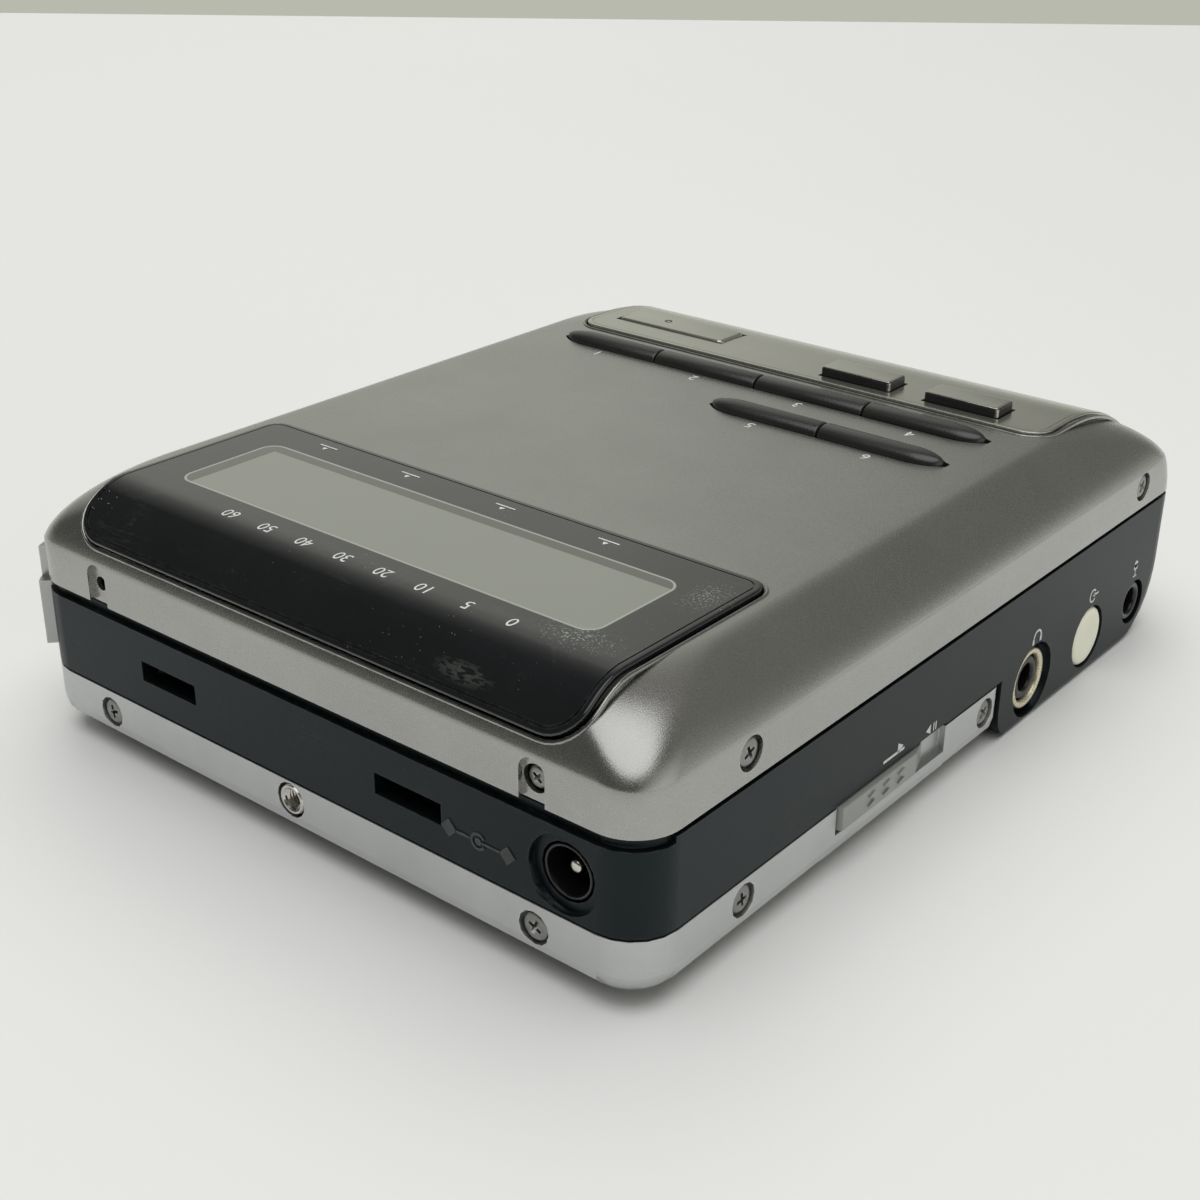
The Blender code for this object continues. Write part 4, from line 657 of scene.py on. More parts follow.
def notchCutter(x):
    bm = bmesh.new()
    crown = coverDetail["notchTop"] - coverDetail["notchHalf"]
    made = bmesh.ops.create_circle(bm, segments=32, radius=coverDetail["notchHalf"], cap_ends=True)
    for vert in made["verts"]:
        low = vert.co.y < 0
        vert.co = (x + (vert.co.x if not low else coverDetail["notchHalf"] * (1 if vert.co.x > 0 else -1)),
                   halfDepth - coverDetail["notchDepth"],
                   crown + vert.co.y if not low else crown + vert.co.y * 3)
    thicken(bm, (0, 0.003, 0))
    return settle(bm, "notchCutter", None, None)


def doorBand(inner, outer, lastAngle, front, low, high, steps=16):
    # the door's plan outline, extruded in height
    bm = bmesh.new()
    centreX = halfWidth - caseShape["cornerRadius"]
    centreY = halfDepth - caseShape["cornerRadius"]
    outside = [(halfWidth + outer, front)]
    inside = [(halfWidth + inner, front)]
    for step in range(steps + 1):
        angle = lastAngle * step / steps
        for points, offset in ((outside, outer), (inside, inner)):
            radius = caseShape["cornerRadius"] + offset
            points.append((centreX + radius * cos(angle), centreY + radius * sin(angle)))
    outline = outside + inside[::-1]
    made = bmesh.ops.create_circle(bm, segments=len(outline), radius=1, cap_ends=True)
    for vert, (x, y) in zip(made["verts"], outline):
        vert.co = (x, y, low)
    thicken(bm, (0, 0, high - low))
    return bm


def roundCutter(point, way, radius, length, steps=32):
    bm = bmesh.new()
    bmesh.ops.create_cone(bm, cap_ends=True, segments=steps, radius1=radius, radius2=radius, depth=length)
    stand(bm, Vector(point) + Vector(way) * (length / 2), way)
    return settle(bm, "roundCutter", None, None)


screwPlaces = {
    "screw_upper_left_1": ((-halfWidth, 0.0446, 0.0238), (-1, 0, 0), 0.0017),
    "screw_upper_left_2": ((-halfWidth, -0.0483, 0.0238), (-1, 0, 0), 0.0017),
    "screw_lower_left_1": ((-halfWidth, 0.0446, 0.0062), (-1, 0, 0), 0.0017),
    "screw_lower_left_2": ((-halfWidth, -0.0072, 0.0062), (-1, 0, 0), 0.0017),
    "screw_lower_right_1": ((halfWidth, 0.0446, 0.0062), (1, 0, 0), 0.0017),
    "screw_lower_right_2": ((halfWidth, -0.0072, 0.0062), (1, 0, 0), 0.0017),
    "screw_rear_left": ((-0.03455, halfDepth, 0.0058), (0, 1, 0), 0.0017),
    "screw_rear_right": ((0.03455, halfDepth, 0.0058), (0, 1, 0), 0.0017),
    "screw_notch": ((-0.03445, halfDepth - 0.0007, 0.0231), (0, 1, 0), 0.0013),
}


def makeCover():
    bm = bmesh.new()
    inner = coverRings(caseShape["wall"])
    outer = coverRings(0.0)
    skinRings(bm, inner[::-1] + outer)
    cover = settle(bm, "coverShell", "coverPaint", "case", ("top_cover",))
    gap = caseShape["gap"]
    room = coverDetail["plateRoom"]
    cutters = [
        settle(bentPlate(windowLine, windowShape, gap, clear, room), "windowCutter", None, None),
        settle(bentPlate(plateLine, plateShape, gap, clear, room), "plateCutter", None, None),
    ]
    cutters += [rowCutter(*row[:3]) for row in rowEnds().values()]
    cutters += [notchCutter(side * coverDetail["notchX"]) for side in (-1, 1)]
    recess = doorBand(-caseShape["wall"] - clear, coverDetail["doorStandOut"] + clear,
                      radians(coverDetail["doorWrap"]), coverDetail["doorFront"] - gap,
                      coverDetail["doorBottom"], coverDetail["doorTop"] + coverDetail["doorGap"])
    cutters.append(settle(recess, "doorCutter", None, None))
    notchHole = (coverDetail["notchX"], halfDepth + clear, coverDetail["notchScrewZ"])
    cutters.append(roundCutter(notchHole, (0, -1, 0), coverDetail["notchHole"], 0.004))
    for name, (point, way, head) in screwPlaces.items():
        if "upper" in name or "notch" in name:
            start = Vector(point) + Vector(way) * clear
            cutters.append(roundCutter(start, -Vector(way), head + coverDetail["screwRoom"],
                                       coverDetail["screwWell"]))
            cutters.append(roundCutter(start, -Vector(way), coverDetail["shankHole"], 0.006))
    carve(cover, *cutters)


makeCover()
print("cover made")


beadShape = {"inner": 0.00033, "outer": 0.00080, "rise": 0.00016, "foot": 0.0003, "steps": 6}


def makeBead(name, line, shape):
    # a low raised lip in the cover, just outside the gap
    inner, outer = beadShape["inner"], beadShape["outer"]
    levels = [(-outer, -beadShape["foot"])]
    for step in range(beadShape["steps"] + 1):
        share = step / beadShape["steps"]
        rise = beadShape["rise"] * sin(pi * share) ** 0.7 + 0.00001
        levels.append((-outer + (outer - inner) * share, rise))
    levels += [(-inner, -beadShape["foot"]), (-outer, -beadShape["foot"])]
    bm = bmesh.new()
    skinRings(bm, [bentOutline(line, shape, inset, height) for inset, height in levels], False, False)
    settle(bm, name, "beadSilver", "case", (), 50)


def makeWindow():
    settle(bentPlate(windowLine, windowShape), "displayWindow", "windowGloss", "case",
           ("display_lens",), 40)


# keys

plateKeys = {
    "key_record": {"x": -0.01015, "half": 0.0056, "near": -0.0346, "far": -0.0391, "rise": 0.00175},
    "key_pause": {"x": -0.0268, "half": 0.0056, "near": -0.0346, "far": -0.0391, "rise": 0.00175},
    "key_long": {"x": 0.0248, "half": 0.0098, "near": -0.0375, "far": -0.0437, "rise": 0.0007},
}
# cut: how wide the painted highlight on a bar's rear left corner is
barShape = {"bottom": 0.0300, "wellFloor": 0.0295, "corner": 0.0004, "longCorner": 0.0009, "crown": 0.0005,
            "cut": 0.00042}
slopeKeys = {"height": 0.0262, "rise": 0.0007, "depth": 0.0030, "halfLength": 0.0076, "halfWidth": 0.0022,
             "pitch": 0.0175, "radius": 0.0020, "edge": 0.0004,
             "names": ("key_forward", "key_back", "key_stop", "key_play")}
firstSlopeKey = plateShape["centre"] - slopeKeys["pitch"] * 1.5


def slopeFrame():
    turn = 0.0
    while noseProfile(turn)[1] > slopeKeys["height"]:
        turn += radians(0.5)
    y, z, ny, nz = noseProfile(turn)
    return Vector((0, y, z)), Vector((0, nz, -ny)), Vector((0, ny, nz))


def slopeBlock(x, grow, bottom, top, rounding=0.0):
    middle, along, normal = slopeFrame()
    bm = bmesh.new()
    rings = []
    levels = [(bottom, 0.0)]
    if rounding:
        for step in range(5):
            angle = pi / 2 * step / 4
            levels.append((top - rounding * (1 - sin(angle)), rounding * (1 - cos(angle))))
    else:
        levels.append((top, 0.0))
    for height, inset in levels:
        wider = grow - inset
        side = slopeKeys["halfWidth"] + wider
        outline = roundedRect(0, slopeKeys["halfLength"] + wider, -side, side, slopeKeys["radius"] + wider, 8)
        rings.append([Vector((x + point.x, 0, 0)) + middle + along * point.y + normal * height
                      for point in outline])
    skinRings(bm, rings)
    return bm


def makePlate():
    plate = settle(bentPlate(plateLine, plateShape), "transportPlate", "panelMetal", "case",
                   ("transport_panel",))
    gap = caseShape["gap"]
    cutters = []
    for key in plateKeys.values():
        reach = key["half"] + gap
        cutters.append(block((key["x"] - reach, key["far"] - gap, barShape["wellFloor"]),
                             (key["x"] + reach, key["near"] + gap, caseTop + 2 * clear)))
    for number in range(4):
        hole = slopeBlock(firstSlopeKey + slopeKeys["pitch"] * number, gap, -slopeKeys["depth"], clear)
        cutters.append(settle(hole, "slopeCutter", None, None))
    carve(plate, *cutters)


def brightenCorner(cap, key):
    # painted highlight: the rear left upright corner of a bar is bright steel; painted shade: its rear and
    # left sides are black, while the top and the other sides keep the plate's metal
    cap.data.materials.append(materials["brightSteel"])
    cap.data.materials.append(materials["keyBlack"])
    for face in cap.data.polygons:
        centre = face.center
        upright = abs(face.normal.z) < 0.3
        atCorner = (centre.x < key["x"] - key["half"] + barShape["cut"]
                    and centre.y - shiftY > key["near"] - barShape["cut"])
        # painted highlight on the rear left corner faces
        if atCorner and upright and max(abs(face.normal.x), abs(face.normal.y)) < 0.995:
            face.material_index = 1
        # painted shade on the rear and left sides
        elif abs(face.normal.z) < 0.8 and (face.normal.y > 0.4 or face.normal.x < -0.4):
            face.material_index = 2


def makePlateKeys():
    for name, key in plateKeys.items():
        bm = bmesh.new()
        bottom, top = barShape["bottom"], caseTop + key["rise"]
        middle = Vector((key["x"], (key["near"] + key["far"]) / 2, (bottom + top) / 2))
        span = Vector((key["half"] * 2, key["near"] - key["far"], top - bottom))
        bmesh.ops.create_cube(bm, size=1, matrix=Matrix.Translation(middle) @ Matrix.Diagonal((*span, 1)))
        upright = [edge for edge in bm.edges if abs(edge.verts[0].co.z - edge.verts[1].co.z) > span.z / 2]
        corner = barShape["longCorner" if name == "key_long" else "corner"]
        roundEdges(bm, upright, corner, 5)
        upper = [edge for edge in bm.edges if all(vert.co.z > top - 1e-6 for vert in edge.verts)]
        roundEdges(bm, upper, barShape["crown"], 4)
        cap = settle(bm, name + "Cap", "panelMetal", name + "_body", (name,))
        # painted highlight and painted shade on the record and pause bars
        if name != "key_long":
            brightenCorner(cap, key)
    for number, name in enumerate(slopeKeys["names"]):
        bm = slopeBlock(firstSlopeKey + slopeKeys["pitch"] * number, 0.0, -slopeKeys["depth"],
                        plateShape["lift"] + slopeKeys["rise"], slopeKeys["edge"])
        settle(bm, name + "Cap", "panelMetal", name + "_body", (name,))


def makeRowKeys():
    # half-round ridges that taper where a row ends
    arc = 9
    for stem, (rowY, start, end, count) in rowEnds().items():
        pitch = (start - end) / count
        for number in range(count):
            high = start - pitch * number - (rowShape["spacing"] / 2 if number else 0)
            low = start - pitch * (number + 1) + (rowShape["spacing"] / 2 if number < count - 1 else 0)
            stops = rowStops(start, end, low, high)
            rings = [rowSection(x, rowY, rowShare(x, start, end), arc) for x in stops]
            if number < count - 1:
                rings = softenEnd(rings, low, rowY, start, end, arc)
            if number:
                rings = softenEnd(rings, high, rowY, start, end, arc)
            bm = bmesh.new()
            skinRings(bm, rings)
            name = f"key_{stem}_{number + 1}"
            settle(bm, name + "Cap", "keyBlack", name + "_body", (name,), 40)


def rowSection(x, rowY, share, arc, shrink=0.0):
    half = rowShape["halfDepth"] * share - shrink
    foot = caseTop + rowShape["shoulder"] * share - 0.0004
    crest = caseTop + rowShape["shoulder"] + (rowShape["rise"] - rowShape["shoulder"]) * share - shrink
    points = [Vector((x, rowY - half, rowShape["bottom"]))]
    points.append(Vector((x, rowY + half, rowShape["bottom"])))
    for step in range(arc + 1):
        angle = pi * step / arc
        points.append(Vector((x, rowY + half * cos(angle), foot + (crest - foot) * sin(angle))))
    return points


# how far before the end, and how much thinner there
rowEndRounding = ((0.00025, 0.0), (0.00012, 0.00003), (0.00004, 0.00009), (0.0, 0.00018))


def softenEnd(rings, x, rowY, start, end, arc):
    # a small rounding where two keys of a row meet
    sign = 1 if abs(rings[-1][0].x - x) < 1e-6 else -1
    share = rowShare(x, start, end)
    soft = [rowSection(x + sign * offset, rowY, share, arc, shrink) for offset, shrink in rowEndRounding]
    if sign == 1:
        return rings[:-1] + soft
    return soft[::-1] + rings[1:]


# screws and sockets

# slotTaper: length and width of the cross's foot against its mouth; turns in degrees
screwDetail = {"head": 0.0017, "sink": 0.0002, "height": 0.0007, "flat": 0.62, "crown": 0.0004,
               "shank": 0.0008, "length": 0.0042, "slotHalf": 0.00024, "slotReach": 0.00105,
               "slotDepth": 0.00055, "slotTaper": (0.45, 0.7), "firstTurn": 23, "nextTurn": 37}


def makeScrews():
    for index, (name, (point, way, head)) in enumerate(screwPlaces.items()):
        bm = bmesh.new()
        crown = -screwDetail["sink"]
        foot = crown - screwDetail["height"]
        profile = [(0.0, crown)]
        for step in range(1, 8):
            angle = pi / 2 * step / 7
            profile.append((head * (screwDetail["flat"] + (1 - screwDetail["flat"]) * sin(angle)),
                            crown - screwDetail["crown"] * (1 - cos(angle))))
        shank, tip = screwDetail["shank"], -screwDetail["length"]
        profile += [(head, foot), (shank, foot), (shank, tip), (0.0, tip)]
        turnedShape(bm, profile, 40)
        turn = radians(screwDetail["firstTurn"] + screwDetail["nextTurn"] * index)
        stand(bm, point, way, turn)
        screw = settle(bm, name + "Head", "screwSteel", "case", (name,))
        cutters = []
        scale = head / screwDetail["head"]
        for quarter in (0, 1):
            cross = bmesh.new()
            bmesh.ops.create_cube(cross, size=1)
            for vert in cross.verts:
                low = vert.co.z < 0
                reach = screwDetail["slotReach"] * scale * (screwDetail["slotTaper"][0] if low else 1.0)
                side = screwDetail["slotHalf"] * scale * (screwDetail["slotTaper"][1] if low else 1.0)
                vert.co = (vert.co.x * 2 * reach, vert.co.y * 2 * side,
                           crown - screwDetail["slotDepth"] if low else crown + 0.0002)
            stand(cross, point, way, turn + quarter * pi / 2)
            cutters.append(settle(cross, "crossCutter", None, None))
        carve(screw, *cutters)


def makeTurnedPiece(name, node, finish, point, way, profile, steps=48, closed=False):
    bm = bmesh.new()
    turnedShape(bm, profile, steps, closed)
    stand(bm, point, way)
    settle(bm, name, finish, "case", (node,), 40)


# a mouth: outer radius, bore, depth of its front, depth of its back, thickness of its floor, rounding
# a ring, dome or pin: radius and height of each point of its outline
socketShape = {
    "height": 0.0057, "phonesY": -0.0200, "lineY": -0.0362, "micY": -0.0506, "dcX": -0.03845, "dcZ": 0.0139,
    "phonesMouth": (0.0030, 0.0018, 0.0009, 0.0095, 0.0010, 0.00045),
    "micMouth": (0.0030, 0.0018, 0.0003, 0.0095, 0.0010, 0.00055),
    "powerMouth": (0.0031, 0.00275, 0.0008, 0.0095, 0.0010, 0.00015),
    "phonesRing": ((0.00415, -0.0013), (0.00415, -0.0007), (0.00403, -0.00055), (0.00385, -0.0005),
                   (0.0036, -0.00052), (0.00342, -0.0006), (0.0033, -0.0008), (0.0033, -0.0013)),
    "plugDome": ((0.0, -0.0024), (0.0042, -0.0024), (0.0042, -0.0006), (0.00412, -0.00035),
                 (0.0039, -0.00016), (0.0036, -0.00005), (0.0031, 0.0), (0.0024, -0.00003),
                 (0.0016, -0.00012), (0.0008, -0.0002), (0.0, -0.00022)),
    "powerPin": ((0.0, -0.0082), (0.0008, -0.0082), (0.0008, -0.0022), (0.00074, -0.00202),
                 (0.0006, -0.00188), (0.0003, -0.00181), (0.0, -0.0018)),
}


def lipProfile(outer, bore, front, back, floor, rounding):
    # a tube with a rounded mouth and a closed back; heights run outwards
    points = [(0.0, -back), (outer, -back), (outer, -front - rounding)]
    for step in range(1, 5):
        angle = pi / 2 * step / 4
        points.append((outer - rounding * (1 - cos(angle)), -front - rounding * (1 - sin(angle))))
    for step in range(5):
        angle = pi / 2 * step / 4
        points.append((bore + rounding * (1 - sin(angle)), -front - rounding * (1 - cos(angle))))
    points += [(bore, -back + floor), (0.0, -back + floor)]
    return points


def makeSockets():
    left, rear = (-1, 0, 0), (0, 1, 0)
    phones = (-halfWidth, socketShape["phonesY"], socketShape["height"])
    line = (-halfWidth, socketShape["lineY"], socketShape["height"])
    mic = (-halfWidth, socketShape["micY"], socketShape["height"])
    power = (socketShape["dcX"], halfDepth, socketShape["dcZ"])
    makeTurnedPiece("phonesBarrel", "phones_jack", "socketBlack", phones, left,
                    lipProfile(*socketShape["phonesMouth"]))
    makeTurnedPiece("phonesLip", "phones_ring", "ringCream", phones, left,
                    socketShape["phonesRing"], 56, True)
    makeTurnedPiece("linePlug", "line_jack_plug", "plugCream", line, left,
                    socketShape["plugDome"], 56)
    makeTurnedPiece("micBarrel", "mic_jack", "socketBlack", mic, left,
                    lipProfile(*socketShape["micMouth"]))
    makeTurnedPiece("powerBarrel", "dc_jack", "socketBlack", power, rear,
                    lipProfile(*socketShape["powerMouth"]))
    makeTurnedPiece("powerPin", "dc_pin", "brightSteel", power, rear,
                    socketShape["powerPin"], 24)


insertShape = {
    "x": 0.0018, "z": 0.0063,
    "tube": ((0.0019, -0.0032), (0.0019, -0.0003), (0.00175, -0.0001), (0.00150, -0.0001), (0.00132, -0.0003),
             (0.00132, -0.0032)),
    "vee": ((0.00134, -0.00300), (0.00108, -0.00280), (0.00134, -0.00260)),
    "pitch": 0.0004, "turns": 6, "steps": 24,
}


def makeInsert():
    # bush with a real thread: a small vee run round and outwards along the axis
    bm = bmesh.new()
    turnedShape(bm, insertShape["tube"], 40, True)
    turns, steps = insertShape["turns"], insertShape["steps"]
    verts = [bm.verts.new((radius, 0, height)) for radius, height in insertShape["vee"]]
    edges = [bm.edges.new(pair) for pair in zip(verts, verts[1:])]
    edges.append(bm.edges.new((verts[-1], verts[0])))
    bmesh.ops.spin(bm, geom=verts + edges, cent=(0, 0, 0), axis=(0, 0, 1), angle=2 * pi * turns,
                   steps=steps * turns, dvec=(0, 0, insertShape["pitch"] / steps), use_merge=False)
    loose = [edge for edge in bm.edges if edge.is_boundary]
    bmesh.ops.holes_fill(bm, edges=loose, sides=3)
    stand(bm, (insertShape["x"], halfDepth, insertShape["z"]), (0, 1, 0))
    settle(bm, "threadedBush", "brightSteel", "case", ("rear_insert",), 30)


# hold knob

knobShape = {"rear": 0.0267, "length": 0.0191, "low": 0.0058, "high": 0.0088, "proud": 0.0006,
             "back": 0.0006, "edge": 0.0002, "slope": 0.0030, "rearSlope": 0.0002, "chevronPitch": 0.0032,
             "chevronSize": (0.0007, 0.0010, 0.00050), "chevronSpread": 0.0006, "chevronShift": 0.0002,
             "chevronSink": 0.0001}


def makeKnob():
    bm = bmesh.new()
    rear, front = knobShape["rear"], knobShape["rear"] - knobShape["length"]
    face, back = -halfWidth - knobShape["proud"], -halfWidth + knobShape["back"]
    bmesh.ops.create_cube(bm, size=1)
    for vert in bm.verts:
        outer = vert.co.x < 0
        isFront = vert.co.y < 0
        y = front + knobShape["slope"] * outer if isFront else rear - knobShape["rearSlope"] * outer
        vert.co = (face if outer else back, y, knobShape["low"] if vert.co.z < 0 else knobShape["high"])
    outerEdges = [edge for edge in bm.edges if all(vert.co.x < face + 1e-6 for vert in edge.verts)]
    roundEdges(bm, outerEdges, knobShape["edge"], 3)
    middle = (rear + front) / 2
    for number in (-1, 0, 1):
        y = middle + knobShape["chevronShift"] + knobShape["chevronPitch"] * number
        for side in (-1, 1):
            z = (knobShape["low"] + knobShape["high"]) / 2 + side * knobShape["chevronSpread"]
            matrix = Matrix.Translation((face + knobShape["chevronSink"], y, z))
            matrix @= Matrix.Diagonal((*knobShape["chevronSize"], 1)) @ Matrix.Rotation(radians(90), 4, "Y")
            bmesh.ops.create_cone(bm, cap_ends=True, segments=3, radius1=1.0, radius2=0.25, depth=1.0,
                                  matrix=matrix)
    settle(bm, "holdKnob", "knobGrey", "hold_knob", ("hold_slider",), 40)


# frame between the covers, with the dark rebate under the cover's edge

def mergedCopy(node):
    bm = bmesh.new()
    bm.from_mesh(nodes[node].data)
    bmesh.ops.remove_doubles(bm, verts=bm.verts, dist=1e-6)
    bmesh.ops.transform(bm, matrix=Matrix.Translation((0, -shiftY, 0)), verts=bm.verts)
    return bm


rebate = {"low": 0.0200, "high": 0.0204, "deep": 0.0008, "rearLow": 0.0192}
dish = {"x": -0.0376, "z": 0.0139, "radius": 0.0043, "deep": 0.00035, "tilt": 7.0, "length": 0.003}


def calmShading(piece):
    # big flat faces keep their own direction, so a rounded corner doesn't shade into them
    step = piece.modifiers.new("weighFaces", "WEIGHTED_NORMAL")
    step.keep_sharp = True
    step.weight = 80


def roundNormals(piece):
    # flat walls keep one direction, and the rounded upright corners shade as true arcs
    mesh = piece.data
    directions = [corner.vector.copy() for corner in mesh.corner_normals]
    radius = caseShape["cornerRadius"]
    for face in mesh.polygons:
        upright = abs(face.normal.z) < 0.02
        flat = max(abs(face.normal.x), abs(face.normal.y)) > 0.9995 or abs(face.normal.z) > 0.9995
        for loop in face.loop_indices:
            point = mesh.vertices[mesh.loops[loop].vertex_index].co
            spot = Vector((point.x, point.y - shiftY))
            middle = Vector((max(min(spot.x, halfWidth - radius), radius - halfWidth),
                             max(min(spot.y, halfDepth - radius), radius - halfDepth)))
            away = spot - middle
            if flat:
                directions[loop] = face.normal.copy()
            elif upright and abs(away.length - radius) < 0.0004:
                if away.normalized().dot(face.normal.xy) > 0.9:
                    directions[loop] = Vector((*away.normalized(), 0))
    mesh.normals_split_custom_set(directions)


def outlineCutter(low, high, deep, rearOnly=False):
    # a ring round the case, or only round its rear and its rounded rear corners
    outlines = []
    for z, out in ((low, -deep), (low, clear), (high, clear), (high, -deep), (low, -deep)):
        outlines.append(roundedRect(z, halfWidth + out, frontLine(z) - out, halfDepth + out,
                                    caseShape["cornerRadius"] + out))
    bm = bmesh.new()
    skinRings(bm, outlines, False, False)
    if rearOnly:
        bmesh.ops.remove_doubles(bm, verts=bm.verts, dist=1e-7)
        line = halfDepth - caseShape["cornerRadius"] + 0.0006
        cut = bmesh.ops.bisect_plane(bm, geom=list(bm.verts) + list(bm.edges) + list(bm.faces), dist=1e-7,
                                     plane_co=(0, line, 0), plane_no=(0, -1, 0), clear_outer=True)
        rims = [item for item in cut["geom_cut"] if isinstance(item, bmesh.types.BMEdge)]
        bmesh.ops.holes_fill(bm, edges=rims, sides=0)
    return settle(bm, "rebateCutter", None, None)


def makeFrame():
    bm = mergedCopy("mid_frame")
    bmesh.ops.dissolve_limit(bm, angle_limit=radians(0.5), verts=bm.verts, edges=bm.edges)
    shell = settle(bm, "frameShell", "frameBlack", "case", ("mid_frame",), recalc=False)
    tilt = radians(dish["tilt"])
    way = Vector((sin(tilt), -cos(tilt), 0))
    start = Vector((dish["x"], halfDepth - dish["deep"], dish["z"])) - way * dish["length"]
    carve(shell, outlineCutter(rebate["low"], rebate["high"], rebate["deep"]),
          outlineCutter(rebate["rearLow"], rebate["high"], rebate["deep"], True),
          roundCutter(start, way, dish["radius"], dish["length"], 56))
    roundNormals(shell)


mergedPieces = {
    "trayShell": ("bottom_cover", "traySilver", "case", "tray_metal", 0.00022),
    "doorPlate": ("disc_door", "doorSilver", "door", "tray_metal", 0.00018),
    "batteryDoor": ("battery_lid", "frameBlack", "lid", "frame_plastic", 0.00018),
}


def makeMergedPieces():
    # solids whose form is right get their flat faces whole and their long edges broken
    for name, (node, finish, body, slotName, edge) in mergedPieces.items():
        bm = mergedCopy(node)
        bmesh.ops.dissolve_limit(bm, angle_limit=radians(0.5), verts=bm.verts, edges=bm.edges)
        piece = settle(bm, name, finish, body, (node,), recalc=False)
        soften = piece.modifiers.new("breakEdges", "BEVEL")
        soften.width = edge
        soften.segments = 2
        soften.limit_method = "ANGLE"
        soften.angle_limit = radians(50)
        soften.harden_normals = True
        calmShading(piece)


# printed and raised signs

signs = {"thick": 0.00003, "rest": 0.000005, "numberSize": 0.0025, "numberAway": 0.0040, "scaleSize": 0.0023,
         "scaleStart": 0.0190, "scalePitch": 0.0062, "scaleAlong": 0.715, "tickY": 0.0314,
         "ticks": (0.0265, 0.0120, -0.0035, -0.0190), "longKeyX": 0.0272, "poles": (-0.0272, 0.0131),
         "polesThick": 0.0001}


# marks on the left side: their place along Y and Z, and the shapes that flatMark draws
sideMarks = {
    "holdArrow": (0.0152, 0.0103, (("bar", 0, 0, 0.0046, 0.00034, 0),
                                   ("disc", 0.0012, 0.00050, 0.00080, 3, -90))),
    "holdEnd": (0.0072, 0.0101, (("disc", 0, 0, 0.0007, 3, 90), ("bar", 0.0011, 0, 0.0002, 0.0011, 0),
                                 ("bar", 0.0016, 0, 0.0002, 0.0011, 0))),
    "phonesSign": (socketShape["phonesY"], 0.0118, (
        ("arc", 0, 0, 0.00085, 0.00115, 0, 180, 14), ("bar", -0.0010, -0.0003, 0.0005, 0.0009, 0),
        ("bar", 0.0010, -0.0003, 0.0005, 0.0009, 0))),
    "lineSign": (socketShape["lineY"], 0.0118, (
        ("arc", 0, 0, 0.00075, 0.0010, 40, 320, 18), ("bar", 0.0010, 0, 0.0014, 0.00026, 0),
        ("disc", 0.0004, 0, 0.00045, 3, 90))),
    "micSign": (socketShape["micY"] + 0.0006, 0.0112, (
        ("disc", 0, 0.0005, 0.00055, 20, 0), ("bar", 0, 0.0001, 0.0011, 0.0008, 0),
        ("bar", 0, -0.0008, 0.00022, 0.0010, 0), ("bar", 0, -0.0013, 0.0011, 0.00022, 0))),
}
tickMark = (("disc", 0, 0.0003, 0.00045, 3, 0), ("bar", 0, -0.0004, 0.0030, 0.00022, 0))
polesMark = (("arc", 0, 0, 0.00075, 0.00105, 30, 330, 18), ("disc", 0, 0, 0.00042, 16, 0),
             ("bar", -0.0021, 0, 0.0022, 0.00028, 0), ("bar", 0.0018, 0, 0.0026, 0.00028, 0),
             ("disc", -0.0041, 0, 0.0011, 4, 0), ("disc", 0.0040, 0, 0.0011, 4, 0))
# running, halt and skip signs on the keys of the slope
slopeMarks = {
    "key_play": (("disc", 0, 0, 0.0010, 3, -90),),
    "key_stop": (("bar", 0, 0, 0.0014, 0.0014, 0),),
    "key_back": (("disc", 0.0007, 0, 0.0009, 3, 90), ("disc", -0.0006, 0, 0.0009, 3, 90)),
    "key_forward": (("disc", -0.0007, 0, 0.0009, 3, -90), ("disc", 0.0006, 0, 0.0009, 3, -90)),
}


def flatMark(shapes):
    # discs, polygons, bars, rings and arcs in a plane, in metres
    bm = bmesh.new()
    for kind, x, y, *rest in shapes:
        if kind == "bar":
            width, height, turn = rest
            place = (Matrix.Translation((x, y, 0)) @ Matrix.Rotation(radians(turn), 4, "Z")
                     @ Matrix.Diagonal((width / 2, height / 2, 1, 1)))
            bmesh.ops.create_grid(bm, x_segments=1, y_segments=1, size=1, matrix=place)
        elif kind == "disc":
            radius, corners, turn = rest
            place = Matrix.Translation((x, y, 0)) @ Matrix.Rotation(radians(turn), 4, "Z")
            bmesh.ops.create_circle(bm, cap_ends=True, segments=corners, radius=radius, matrix=place)
        else:
            inner, outer, first, last, steps = rest
            angle = radians(first)
            verts = [bm.verts.new((x + radius * cos(angle), y + radius * sin(angle), 0))
                     for radius in (inner, outer)]
            edge = bm.edges.new(verts)
            bmesh.ops.spin(bm, geom=verts + [edge], cent=(x, y, 0), axis=(0, 0, 1),
                           angle=radians(last - first), steps=steps, use_merge=last - first >= 360)
    return bm


def textMark(text, size):
    curve = bpy.data.curves.new("numberText", "FONT")
    curve.body = text
    curve.size = size
    curve.align_x = "CENTER"
    curve.align_y = "CENTER"
    curve.resolution_u = 3
    holder = bpy.data.objects.new("numberText", curve)
    bpy.context.scene.collection.objects.link(holder)
    bpy.context.view_layer.update()
    mesh = bpy.data.meshes.new_from_object(holder.evaluated_get(bpy.context.evaluated_depsgraph_get()))
    bm = bmesh.new()
    bm.from_mesh(mesh)
    bpy.data.objects.remove(holder)
    bpy.data.meshes.remove(mesh)
    return bm


